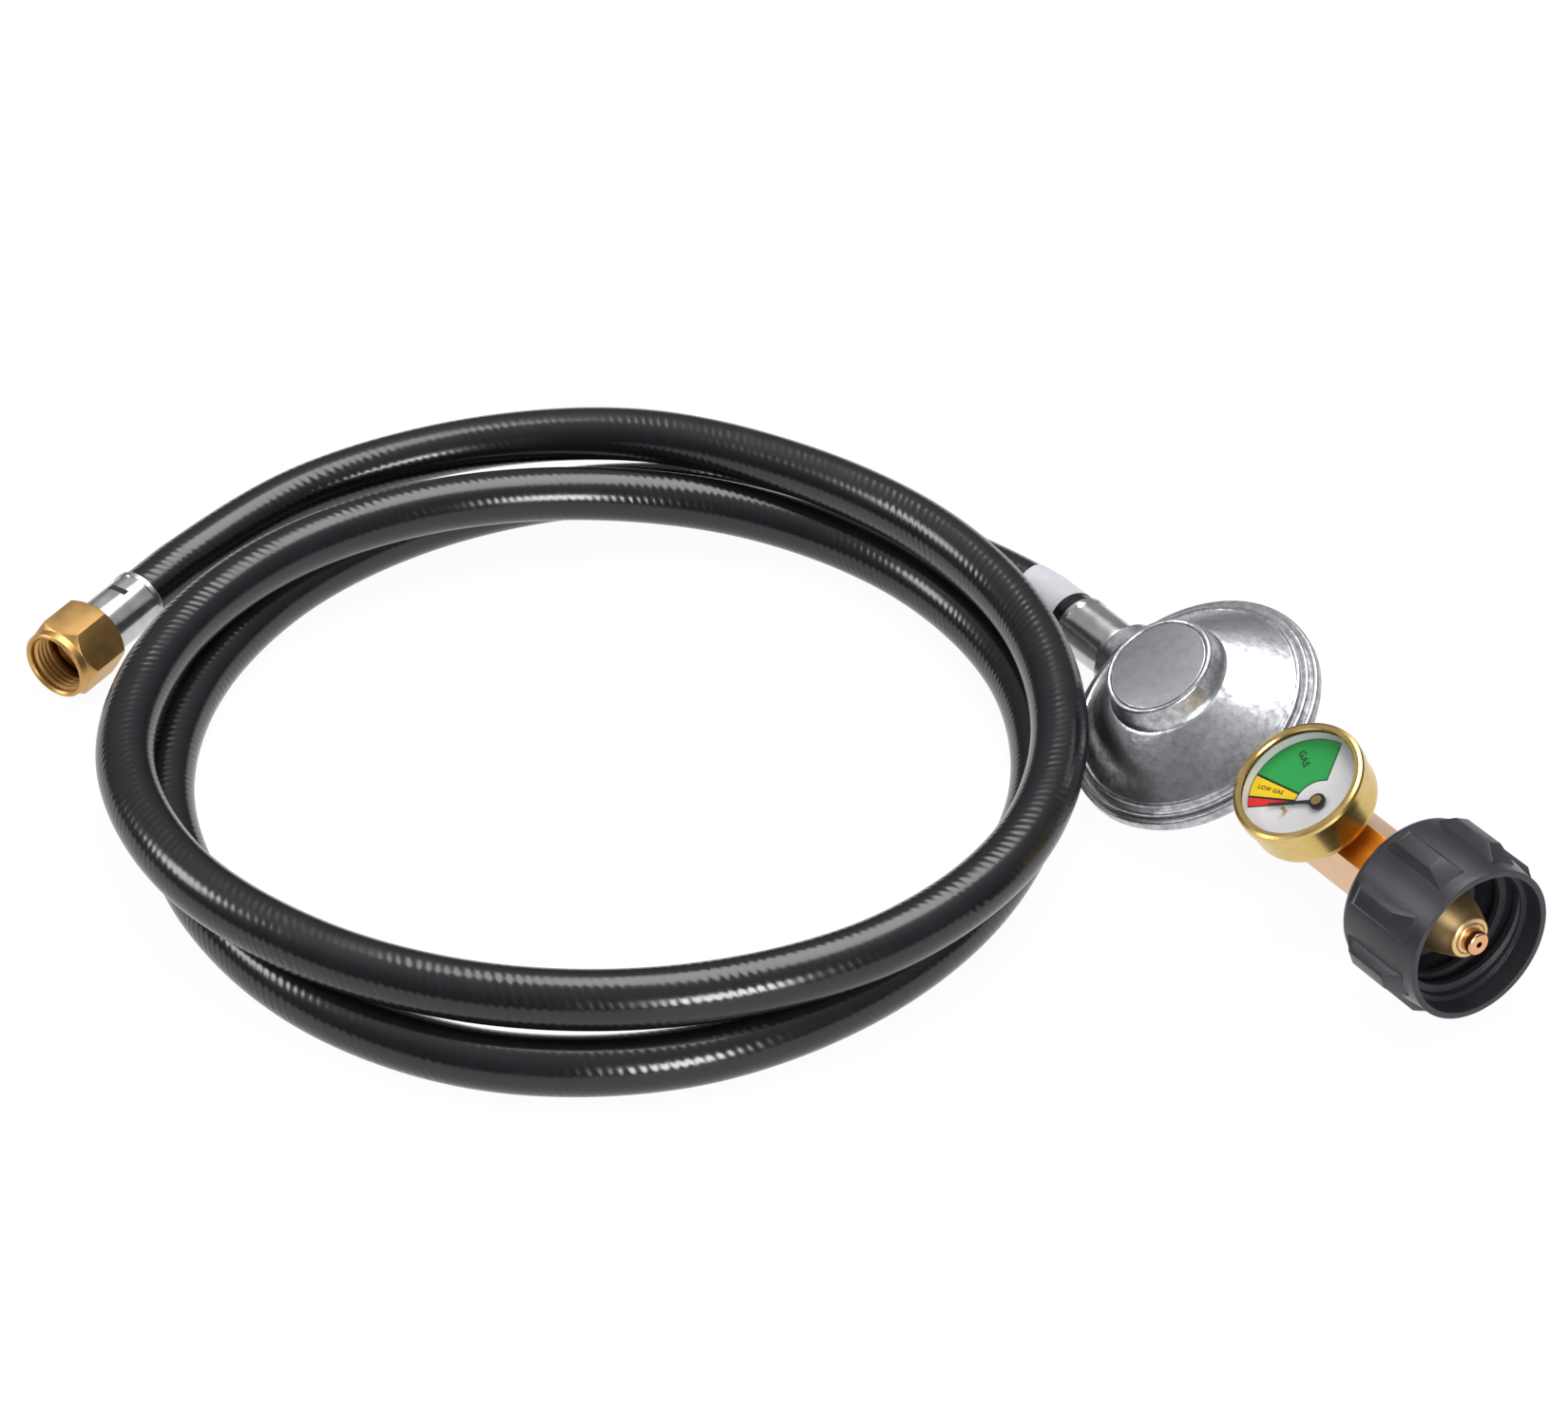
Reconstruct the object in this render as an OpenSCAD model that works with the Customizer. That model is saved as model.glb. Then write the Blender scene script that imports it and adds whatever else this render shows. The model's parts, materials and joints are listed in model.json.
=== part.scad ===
// Propane regulator hose: a low-pressure regulator with a tank gauge, a hand nut for the
// tank valve, and a gas hose that ends in a swivel flare nut for the appliance.
// Millimetres, +Z up. The assembly lies on the plane z = 0. The origin is on that plane, under
// the middle of the regulator assembly. +X is the way the inlet axis runs, towards the tank.
//
// The regulator is drawn in its own frame and laid down by on_body(): x along the inlet axis
// from the middle of the diaphragm, z along the axis of the bonnet.

/* [Regulator body] */
// Outer radius of the rolled rim that joins casting and bonnet
rim_r = 33.5; // [31:0.5:38]
// Height of the rim's top above the inlet axis
rim_h = 13.2; // [12.4:0.2:15]
// Thickness of the rim
rim_t = 3.8; // [3:0.2:5]
// Wall of the die castings
cast_wall = 2.2; // [1.6:0.1:2.6]
// Depth of the casting's dish below the inlet axis
dish_depth = 9; // [8.6:0.2:11]
// Radius of the dish's flat bottom
dish_r = 11.5; // [9:0.5:13]
// Radius where the bonnet's cone starts
cone_r = 28.4; // [27:0.2:29.4]
// Height of the bonnet's cone
cone_rise = 10.6; // [9:0.2:13]
// Radius of the spring tower on the bonnet
tower_r = 14.1; // [13.4:0.1:15.5]
// Height of the spring tower above the cone
tower_rise = 6; // [4:0.5:9]
// Radius of the inlet and outlet hubs
hub_r = 10.2; // [9.4:0.2:11]
// Length of the inlet hub from the middle of the diaphragm
inlet_reach = 37; // [35.5:0.5:40]
// Length of the outlet hub from the middle of the diaphragm
outlet_reach = 41.5; // [39:0.5:46]
// Sideways offset of the outlet axis from the inlet axis
outlet_offset = 2.5; // [0:0.5:3]

/* [Pressure works] */
// Thickness of the rubber diaphragm
diaphragm_t = 0.8; // [0.5:0.1:1.2]
// Lift of the diaphragm from open valve to closed valve
diaphragm_lift = 2.4; // [1.5:0.1:2.6]
// Radius of the diaphragm plate
plate_r = 17; // [14:0.5:19]
// Wire diameter of the main spring
spring_wire = 1.6; // [1:0.1:2]
// Outer radius of the main spring
spring_r = 9.4; // [8:0.2:10.4]
// Working turns of the main spring
spring_turns = 4.5; // [3:0.5:6]
// Bore of the orifice
orifice_r = 1.3; // [0.8:0.1:1.8]
// Radius of the valve holder
holder_r = 3; // [2.6:0.1:3.6]
// Distance from the lever pin to the diaphragm stem
lever_arm = 15; // [12:0.5:16]
// Drop of the lever pin below the inlet axis
pin_drop = 4.4; // [4.2:0.1:4.8]

/* [Gauge block] */
// Width across flats of the brass gauge block
block_af = 17; // [16:0.5:19]
// Place of the gauge along the inlet axis
gauge_x = 50.3; // [49:0.1:54]
// Height of the gauge glass above the inlet axis
gauge_h = 23.8; // [22:0.2:28]
// Outer radius of the gauge bezel
bezel_r = 16.8; // [15.6:0.1:17]
// Radius of the window in the bezel
window_r = 14.5; // [13:0.1:14.6]
// Depth of the gauge case below the glass
case_depth = 12.6; // [11.6:0.2:13]
// Offset of the pointer's hub from the middle of the dial
hub_offset = 6.3; // [5:0.1:7]
// Length of the pointer
pointer_len = 14.2; // [10:0.2:15]
// Angle of the pointer at rest, from the tank end of the dial
pointer_rest = 217; // [215:1:225]

/* [Tank nut] */
// Distance from the diaphragm's middle to the back of the hand nut
wheel_x = 77.7; // [75:0.1:80]
// Length of the hand nut
wheel_len = 26.9; // [26:0.1:30]
// Radius of the hand nut between its grips
wheel_r = 19.5; // [19:0.1:21]
// Radius over the grips
grip_r = 21.8; // [21.4:0.1:24]
// Number of grips round the hand nut
grips = 8; // [6:1:12]
// Width of a grip at its foot
grip_w = 10; // [7:0.5:11]
// Radius of the plain mouth of the hand nut
mouth_r = 18; // [17.4:0.1:18.4]
// Depth of the plain mouth
mouth_depth = 5.5; // [3:0.5:8]
// Radius of the tank thread, a 1-5/16 inch thread
tank_thread_r = 16.75; // [16.2:0.05:17.2]
// Thickness of the hand nut's back wall
wheel_back = 3; // [2.4:0.2:4]
// Radius of the inlet nipple's neck
neck_r = 8.4; // [7.8:0.1:8.6]
// Radius of the nipple's nose where it starts
nose_r = 9.2; // [8.6:0.1:10]
// Distance from the mouth of the hand nut back to the tip of the probe
tip_back = 0.6; // [0:0.2:3]

/* [Hose and its fittings] */
// Outer diameter of the hose
hose_d = 14.3; // [13.6:0.1:15]
// Bore of the hose
hose_bore = 8; // [7.6:0.1:9]
// Outer radius of the crimped ferrules
ferrule_r = 8.7; // [8.4:0.1:8.9]
// Length of a crimped ferrule
ferrule_len = 19; // [16:0.5:20]
// Width across flats of the flare nut, 3/4 inch
nut_af = 19.05; // [18.6:0.05:20]
// Length of the flare nut
nut_len = 16.4; // [16:0.2:19]
// Radius of the flare thread, 5/8 inch
flare_thread_r = 7.95; // [7.6:0.05:8.1]
// Radius of the round collar at the flare nut's mouth
lip_r = 9.35; // [9.1:0.05:9.4]

/* [Clearances] */
// Running clearance between turning fits, on the radius
run_gap = 0.05; // [0.02:0.01:0.09]
// Gap between pieces that move past each other
free_gap = 0.35; // [0.3:0.05:0.5]

/* [How it lies] */
// Turn of the bonnet about the inlet axis
roll = 30.8; // [28:0.2:33]
// Place of the flare nut's mouth along the floor
far_x = -204; // [-215:1:-195]
// Place of the flare nut's mouth across the floor
far_y = -228; // [-240:1:-220]
// Direction that the flare nut's mouth points to
far_turn = -63; // [-70:1:-56]

/* [Hidden] */
$fn = 72;
eps = 0.01;

// The regulator lies on the knee of its dish and on the heel of one grip of the hand nut, so
// the inlet axis climbs towards the tank. Each pass brings height and climb closer together.
dish_knee = 2;
grip_heel = wheel_x + 3.3;
heel_turn = atan2(grip_r, grip_heel);

function axis_height(c) = let (tilt = cos(roll) * cos(c))
    (dish_depth - dish_knee) * tilt + dish_r * sqrt(1 - tilt * tilt) + dish_knee;

function climb_from(c, passes) = passes == 0 ? c
    : climb_from(heel_turn - asin(axis_height(c) / norm([grip_heel, grip_r])), passes - 1);

climb = climb_from(5, 12);
axis_z = axis_height(climb);
wheel_front = wheel_x + wheel_len;

// Middle of the regulator assembly, which goes over the origin.
tail_collar = 2;
ferrule_end = outlet_reach + tail_collar + ferrule_len;
reach_tank = wheel_front * cos(climb) + wheel_r * sin(climb);
reach_hose = ferrule_end * cos(climb) + ferrule_r * sin(climb);
side_low = rim_h * sin(roll) + rim_r * cos(roll);
side_high = rim_r * cos(roll) - (rim_h - rim_t) * sin(roll);
place = [(reach_hose - reach_tank) / 2, (side_low - side_high) / 2, axis_z];

module on_body() {
    translate(place) rotate([0, -climb, 0]) rotate([roll, 0, 0]) children();
}

// A point of the regulator's own frame in the frame of the whole part.
function laid(p) =
    let (q = [p[0], p[1] * cos(roll) - p[2] * sin(roll), p[1] * sin(roll) + p[2] * cos(roll)])
    place + [q[0] * cos(climb) - q[2] * sin(climb), q[1], q[0] * sin(climb) + q[2] * cos(climb)];

// Revolve about the inlet axis: the profile's points are [along the axis, radius].
module revolved_x(points) {
    rotate([90, 0, 90]) rotate_extrude() polygon([for (p = points) [p[1], p[0]]]);
}

module rod_x(from, to, r) {
    translate([from, 0, 0]) rotate([0, 90, 0]) cylinder(r = r, h = to - from);
}

module rod_z(from, to, r) {
    translate([0, 0, from]) cylinder(r = r, h = to - from);
}

// A ring about the z axis.
module ring_z(from, to, r, bore) {
    rotate_extrude() translate([bore, from]) square([r - bore, to - from]);
}

// Points of an arc, for profiles.
function arc(c, r, a0, a1, n = 6) = [for (i = [0 : n]) c + r * [cos(a0 + (a1 - a0) * i / n),
    sin(a0 + (a1 - a0) * i / n)]];

// ---------------------------------------------------------------- tubes swept along a path

function unit(v) = v / norm(v);
function run_of(path, i) = unit(path[min(i + 1, len(path) - 1)] - path[max(i - 1, 0)]);

function ring_at(path, i, r, sides) =
    let (t = run_of(path, i), side = unit(cross(t, [0, 0, 1])), up = cross(side, t))
    [for (k = [0 : sides - 1]) let (a = 360 * (k + 0.5) / sides)
        path[i] + r * (cos(a) * side + sin(a) * up)];

function skin(first, rings, sides, out) = [for (i = [0 : rings - 2]) for (k = [0 : sides - 1])
    let (a = first + i * sides + k, b = first + i * sides + (k + 1) % sides, c = a + sides,
        d = b + sides) each out ? [[a, b, c], [b, d, c]] : [[a, c, b], [b, c, d]]];

// A tube with flat ends, solid where bore is 0.
module swept(path, r, sides, bore = 0) {
    rings = len(path);
    outer = [for (i = [0 : rings - 1]) each ring_at(path, i, r, sides)];
    inner = bore == 0 ? [path[0], path[rings - 1]]
        : [for (i = [0 : rings - 1]) each ring_at(path, i, bore, sides)];
    base = rings * sides;
    end = (rings - 1) * sides;
    walls = bore == 0 ? skin(0, rings, sides, true)
        : concat(skin(0, rings, sides, true), skin(base, rings, sides, false));
    caps = [for (k = [0 : sides - 1]) let (n = (k + 1) % sides)
        each bore == 0 ? [[base, n, k], [base + 1, end + k, end + n]]
            : [[base + k, n, k], [base + k, base + n, n],
                [base + end + k, end + k, end + n], [base + end + k, end + n, base + end + n]]];
    polyhedron(concat(outer, inner), concat(walls, caps));
}

// A helix about z with both ends closed flat like a ground spring.
function helix(r, height, turns, steps) = [for (i = [0 : turns * steps + 2 * steps])
    let (a = 360 * i / steps, free = (i - steps) / (turns * steps))
    [r * cos(a), r * sin(a), height * min(1, max(0, free))]];

// ---------------------------------------------------------------- heights of the pressure works

flange_h = rim_h - 1.2;
rim_low = rim_h - rim_t;
step_h = flange_h + 2.8;
cone_h = step_h + 1.4;
tower_h = cone_h + cone_rise;
cap_seat_h = tower_h + tower_rise - 2;
tower_top = tower_h + tower_rise;
tower_in = tower_r - 2.1;
tower_foot = tower_r + 2.4;
chamber_r = rim_r - 9;
chamber_floor = cast_wall - dish_depth;
diaphragm_h = flange_h - diaphragm_t;
plate_h = diaphragm_h + diaphragm_t;
screw_h = cap_seat_h - 5;
stem_r = 2.4;
stem_foot = 2.6;
lever_z = stem_foot + 2.4;
lever_w = 5;
lever_t = 1.6;
pin_r = 1;
pin_z = -pin_drop;
pin_x = lever_arm;
seat_x = 24;
seat_t = 1.2;
valve_travel = diaphragm_lift * pin_drop / lever_arm;
holder_end = seat_x - valve_travel - seat_t - 0.02;
sleeve_x = 17.6;
port_thread_r = 6.6;
port_start = 16;

// ---------------------------------------------------------------- regulator body

module casting_shell() {
    rotate_extrude() polygon(concat(
        [[0, -dish_depth], [dish_r, -dish_depth]],
        arc([dish_r, dish_knee - dish_depth], dish_knee, -90, -20),
        [[rim_r - 3.4, rim_low - 1.8], [rim_r - 1.6, rim_low], [rim_r - 0.5, rim_low + 0.5],
            [rim_r, rim_low + 1.4]],
        arc([rim_r - 0.8, rim_h - 0.8], 0.8, 0, 90),
        [[rim_r - 1.7, rim_h], [rim_r - 1.7, diaphragm_h], [0, diaphragm_h]]));
}

module lower_casting() {
    color("#aeb1b6") on_body() difference() {
        union() {
            casting_shell();
            rod_x(0, inlet_reach, hub_r);
            translate([0, outlet_offset, 0]) rod_x(-outlet_reach, 0, hub_r - 0.6);
            hub_collars();
            hub_webs();
        }
        // chamber under the diaphragm
        translate([0, 0, chamber_floor]) cylinder(r1 = dish_r, r2 = chamber_r,
            h = diaphragm_h - chamber_floor + eps);
        translate([0, 0, rim_low]) cylinder(r = chamber_r, h = rim_h);
        // clear of the bonnet above the diaphragm
        rod_z(diaphragm_h, rim_h + 5, rim_r - 1.7);
        rod_x(port_start, inlet_reach + eps, port_thread_r);
        rod_x(0, port_start + 2, holder_r + 1.4);
        translate([0, outlet_offset, 0]) rod_x(-outlet_reach - eps, -8, port_thread_r);
        pin_pocket();
        pin_holes();
    }
    color("#aeb1b6") on_body() lever_posts();
}

// Stepped collars at the mouths of both hubs.
module hub_collars() {
    revolved_x([[inlet_reach - 5, 0], [inlet_reach - 5, hub_r + 0.9],
        [inlet_reach - 0.8, hub_r + 0.9], [inlet_reach, hub_r + 0.1], [inlet_reach, 0]]);
    translate([0, outlet_offset, 0]) revolved_x([[-outlet_reach, 0], [-outlet_reach, hub_r - 0.6],
        [0.8 - outlet_reach, hub_r + 0.2], [5 - outlet_reach, hub_r + 0.2],
        [5 - outlet_reach, 0]]);
}

// Webs that carry the hubs under the dish.
module hub_webs() {
    for (side = [1, -1]) translate([side * (dish_r + 9), side < 0 ? outlet_offset : 0, 0])
        rotate([90, 0, 0]) linear_extrude(cast_wall, center = true)
            polygon([[-10, rim_low - 3], [10, rim_low - 3], [10, -hub_r + 4], [-10, -hub_r + 3]]);
}

// Room for the lever round its pin.
module pin_pocket() {
    translate([pin_x, -lever_w / 2 - 0.6, pin_z]) rotate([-90, 0, 0])
        cylinder(r = 2.6, h = lever_w + 1.2);
    translate([pin_x - 4, -lever_w / 2 - 0.6, pin_z - 0.6]) cube([6, lever_w + 1.2, 5]);
}

module pin_holes() {
    translate([pin_x, -lever_w, pin_z]) rotate([-90, 0, 0])
        cylinder(r = pin_r + run_gap, h = 2 * lever_w);
}

// Two posts in the chamber that hold the lever pin.
module lever_posts() {
    difference() {
        for (side = [-1, 1]) translate([pin_x - 2.2, side * (lever_w / 2 + 1.4) - 0.9,
            chamber_floor - 1]) cube([4.4, 1.8, pin_z + 2.4 - chamber_floor + 1]);
        pin_holes();
    }
}

// The bonnet's outer face from the rim up to the tower.
function bonnet_face() = concat(
    [[rim_r - 1.75, flange_h], [rim_r - 1.75, step_h - 0.7]],
    arc([rim_r - 2.45, step_h - 0.7], 0.7, 0, 90, 4),
    [[cone_r + 1.6, step_h], [cone_r + 1.2, step_h + 0.9], [cone_r + 0.8, step_h + 1.2],
        [cone_r + 0.4, step_h + 0.8], [cone_r, cone_h]],
    [[tower_foot, tower_h], [tower_r + 0.9, tower_h + 0.9], [tower_r + 0.3, tower_h + 2.4],
        [tower_r, tower_top - 0.6], [tower_r - 0.4, tower_top]]);

module bonnet() {
    color("#b6b8bc") on_body() difference() {
        union() {
            rotate_extrude() polygon(concat([[0, flange_h]], bonnet_face(), [[0, tower_top]]));
            vent_place() cylinder(r = 4, h = 4.4);
        }
        // spring room and the cavity under the cone
        rod_z(flange_h - eps, tower_top + eps, tower_in - 1.2);
        rod_z(screw_h - 0.4, tower_top + eps, tower_in);
        rod_z(cap_seat_h, tower_top + eps, tower_r - 0.7);
        translate([0, 0, flange_h - eps]) cylinder(r = chamber_r, h = 2.2);
        translate([0, 0, flange_h + 2]) cylinder(r1 = chamber_r, r2 = tower_in - 1.2,
            h = tower_h - cast_wall - flange_h - 1.6);
        vent_place() translate([0, 0, -8]) cylinder(r = 1.4, h = 14);
        vent_place() translate([0, 0, 3]) cylinder(r = 2.9, h = 3);
    }
}

// The vent lies square to the cone, on the side away from the gauge.
vent_turn = 149;
vent_r = (cone_r + tower_foot) / 2;
cone_slope = atan(cone_rise / (cone_r - tower_foot));

module vent_place() {
    rotate([0, 0, vent_turn]) translate([vent_r, 0, cone_h + cone_rise / 2 - 2.4])
        rotate([0, 90 - cone_slope, 0]) rotate([0, 0, 0]) children();
}

module vent_screen() {
    color("#8d8f92") on_body() vent_place() translate([0, 0, 3]) cylinder(r = 2.85, h = 0.5);
}

module tower_cap() {
    r = tower_r - 0.75;
    color("#c3c5c8") on_body() rotate_extrude() polygon([[0, cap_seat_h], [r, cap_seat_h],
        [r, tower_top], [r - 0.5, tower_top + 0.5], [0, tower_top + 0.5]]);
}

module adjusting_screw() {
    color("#8f9296") on_body() difference() {
        rod_z(screw_h, cap_seat_h - 0.6, tower_in - run_gap);
        translate([0, 0, screw_h + 1.6]) cylinder(r = 4.6, h = 8, $fn = 6);
        rod_z(screw_h - eps, screw_h + 0.8, spring_r - 2.2);
    }
}

module main_spring() {
    r = spring_r - spring_wire / 2;
    low = plate_h + 1.2 + spring_wire / 2;
    color("#c9ccd0") on_body() translate([0, 0, low])
        swept(helix(r, screw_h - low - spring_wire / 2, spring_turns, 10), spring_wire / 2 * 0.96, 6);
}

module diaphragm() {
    color("#2c2c2e") on_body() rotate_extrude() polygon([[stem_r + eps, diaphragm_h],
        [chamber_r - 5, diaphragm_h], [chamber_r - 3.4, diaphragm_h - 1.6],
        [chamber_r - 1.6, diaphragm_h - 1.6], [chamber_r - 0.2, diaphragm_h],
        [rim_r - 2, diaphragm_h], [rim_r - 2, plate_h], [chamber_r - 0.6, plate_h],
        [chamber_r - 2, diaphragm_h - 1.6 + diaphragm_t],
        [chamber_r - 3, diaphragm_h - 1.6 + diaphragm_t], [chamber_r - 4.6, plate_h],
        [stem_r + eps, plate_h]]);
}

module diaphragm_plate() {
    color("#b9bbbf") on_body() rotate_extrude() polygon([[stem_r, plate_h], [plate_r, plate_h],
        [plate_r + 0.8, plate_h + 1.4], [plate_r, plate_h + 1.8], [plate_r - 1, plate_h + 1.2],
        [stem_r, plate_h + 1.2]]);
}

// The stem carries the lever's end in a slot below the diaphragm.
module diaphragm_stem() {
    color("#a8abb0") on_body() difference() {
        union() {
            rod_z(stem_foot - 0.6, plate_h + 2.4, stem_r);
            rod_z(diaphragm_h - 1, diaphragm_h, stem_r + 2.6);
            rod_z(plate_h + 1.2, plate_h + 2.4, stem_r + 1.2);
        }
        translate([-stem_r - 1, -1.4, stem_foot + 0.6])
            cube([2 * stem_r + 2, 2.8, 3.6]);
    }
}

// ---------------------------------------------------------------- valve and lever

module lever() {
    color("#cfd1d4") on_body() difference() {
        union() {
            // long arm to the stem
            rotate([90, 0, 0]) linear_extrude(2.2, center = true) polygon([
                [-1.8, lever_z - lever_t / 2], [2.6, lever_z - lever_t / 2],
                [pin_x - 5.2, pin_z + 1.4], [pin_x, pin_z - 1.8], [pin_x + 1.7, pin_z],
                [pin_x + 1.2, pin_z + 2], [pin_x - 3.6, pin_z + 2.8],
                [3.4, lever_z + lever_t / 2], [-1.8, lever_z + lever_t / 2]]);
            translate([pin_x, 0, pin_z]) rotate([90, 0, 0])
                cylinder(r = 1.9, h = 2.6, center = true);
            // short arm up into the holder's slot
            translate([pin_x - 0.7, -1.1, pin_z + 1]) cube([1.4, 2.2, pin_drop]);
        }
        translate([pin_x, lever_w, pin_z]) rotate([90, 0, 0])
            cylinder(r = pin_r + run_gap, h = 2 * lever_w);
    }
}

module lever_pin() {
    color("#dcdde0") on_body() translate([pin_x, 0, pin_z]) rotate([90, 0, 0])
        cylinder(r = pin_r, h = lever_w + 4.4, center = true);
}

module valve_holder() {
    color("#caa052") on_body() difference() {
        rod_x(pin_x - 2.6, holder_end, holder_r);
        translate([pin_x - 1.2, -1.6, -holder_r - 1]) cube([2.4, 3.2, holder_r + 2.6]);
        translate([pin_x - 4, -1.6, -holder_r - 1]) cube([6.6, 3.2, holder_r + 0.6]);
    }
}

module valve_seat() {
    color("#333335") on_body() rod_x(holder_end, holder_end + seat_t, holder_r - 0.4);
}

// The orifice screws in behind the seat, and its sleeve guides the valve holder.
module orifice() {
    body_x = seat_x + 3;
    color("#caa052") on_body() difference() {
        union() {
            rod_x(body_x, body_x + 4, port_thread_r - run_gap);
            revolved_x([[seat_x, 0], [seat_x, orifice_r + 0.5], [body_x, orifice_r + 1.4],
                [body_x, 0]]);
            orifice_sleeve(body_x);
        }
        rod_x(seat_x - 1, body_x + 5, orifice_r);
    }
}

module orifice_sleeve(body_x) {
    difference() {
        rod_x(sleeve_x, body_x, holder_r + 1.3);
        rod_x(sleeve_x - eps, body_x + eps, holder_r + run_gap);
        // gas windows beside the seat
        for (turn = [45, 135]) rotate([turn, 0, 0]) translate([seat_x + 0.9, 0, 0])
            cube([3.4, 2 * port_thread_r, 2.8], center = true);
    }
}

// ---------------------------------------------------------------- hose tails and ferrules

barb_r = 3.6;
neck_out_r = 4.95;
tail_bore = 2.4;
barb_pitch = 2.6;
barb_count = 5;

// The part of a tail inside the ferrule: [distance from the ferrule's front end, radius].
function tail_points() = concat([[0, neck_out_r], [0.8, neck_out_r], [1, barb_r - 0.6]],
    [for (i = [0 : barb_count - 1]) let (x = ferrule_len - 2 - (barb_count - i) * barb_pitch)
        each [[x, barb_r - 0.5], [x, barb_r], [x + barb_pitch - 0.2, barb_r - 0.5]]],
    [[ferrule_len - 1.6, barb_r - 0.6], [ferrule_len - 1.6, 0]]);

// Outlet side, with x running from the hub's face to the hose.
module at_outlet() {
    on_body() translate([-outlet_reach, outlet_offset, 0]) mirror([1, 0, 0]) children();
}

module outlet_tail() {
    color("#c79f52") at_outlet() difference() {
        revolved_x(concat([[-11.5, 0], [-11.5, port_thread_r - run_gap],
            [0, port_thread_r - run_gap], [0, 7.2], [0.3, 7.5], [tail_collar - 0.3, 7.5],
            [tail_collar, 7.2]], [for (p = tail_points()) p + [tail_collar, 0]]));
        rod_x(-12, tail_collar + ferrule_len, tail_bore);
    }
}

// A crimped ferrule. Its front end is at x = 0 and the hose leaves at ferrule_len. The crimp
// leaves eight flats between the two round lips.
module ferrule() {
    difference() {
        intersection() {
            revolved_x([[0, 0], [0, ferrule_r - 0.9], [0.5, ferrule_r - 0.5],
                [ferrule_len - 2.4, ferrule_r - 0.1], [ferrule_len - 1.4, ferrule_r],
                [ferrule_len - 0.2, ferrule_r], [ferrule_len, ferrule_r - 0.2],
                [ferrule_len, 0]]);
            union() {
                rod_x(ferrule_len - 1.9, ferrule_len, ferrule_r + 1);
                rod_x(-1, ferrule_len - 1, (ferrule_r - 0.35) / cos(22.5), $fn = 8);
            }
        }
        rod_x(0.9, ferrule_len + 1, ferrule_in);
        rod_x(-1, 1, neck_out_r + run_gap);
    }
}

ferrule_in = hose_d / 2 + run_gap;

module near_ferrule() {
    color("#c6c9cb") at_outlet() translate([tail_collar, 0, 0]) ferrule();
}

// Where the flare nut lies, with x running from its mouth to the hose.
far_nut = [far_x, far_y, nut_af / 2];
far_front = nut_len + 0.4;

module at_far() {
    translate(far_nut) rotate([0, 0, far_turn + 180]) children();
}

module far_ferrule() {
    window_turn = 22.5;
    color("#c6c9cb") at_far() translate([far_front, 0, 0]) difference() {
        ferrule();
        // sight window that shows how far the hose is in
        rotate([-window_turn, 0, 0]) translate([3.4, -2, 0]) cube([1.8, 4, ferrule_r + 1]);
    }
}

// ---------------------------------------------------------------- flare nut

collar_len = 4;
seat_back = nut_len - 4;
// keeps the seam of a turned shape off the corners of a hexagon
seam_turn = 12;

module hex_x(from, to, af) {
    translate([from, 0, 0]) rotate([0, 90, 0]) rotate([0, 0, 30])
        cylinder(r = af / 2 / cos(30), h = to - from, $fn = 6);
}

module flare_nut() {
    corner = nut_af / 2 / cos(30);
    color("#c8994f") at_far() difference() {
        union() {
            revolved_x([[0, 0], [0, lip_r - 0.5], [0.5, lip_r], [collar_len, lip_r],
                [collar_len, 0]]);
            // hexagon with both ends turned off to a cone
            intersection() {
                hex_x(collar_len - 1.6, nut_len, nut_af);
                rotate([seam_turn, 0, 0])
                    revolved_x([[collar_len - 1.8, 0], [collar_len - 1.8, lip_r - 0.3],
                        [collar_len + 0.9, corner + 0.3], [nut_len - 1.4, corner + 0.3],
                        [nut_len, corner - 1.2], [nut_len, 0]]);
            }
        }
        rod_x(-eps, seat_back, flare_thread_r);
        // relief behind the thread
        rod_x(tail_front - free_gap, seat_back, flare_thread_r + 0.3);
        revolved_x([[-eps, 0], [-eps, flare_thread_r + 0.6], [0.7, flare_thread_r - eps],
            [0.7, 0]]);
        rod_x(0, nut_len + 1, tail_neck_r + run_gap);
    }
}

tail_neck_r = 5.55;
tail_front = seat_back - free_gap - 2.8;

// The tail ends in a shoulder that keeps the nut on, with the cone seat in its face.
module flare_tail() {
    shoulder = seat_back - free_gap;
    front = tail_front;
    color("#cfa255") at_far() difference() {
        revolved_x(concat([[front, 0], [front, flare_thread_r - 0.9],
            [front + 0.4, flare_thread_r - 0.5], [shoulder, flare_thread_r - 0.5],
            [shoulder, tail_neck_r], [far_front, tail_neck_r]],
            [for (p = tail_points()) p + [far_front, 0]]));
        revolved_x([[front - eps, 0], [front - eps, 5.4], [front + 2.9, tail_bore],
            [front + 2.9, 0]]);
        rod_x(front, far_front + ferrule_len, tail_bore);
    }
}

// ---------------------------------------------------------------- gauge block

nipple_x = 66;
socket_r = 5.1;
socket_floor = 2;

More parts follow.
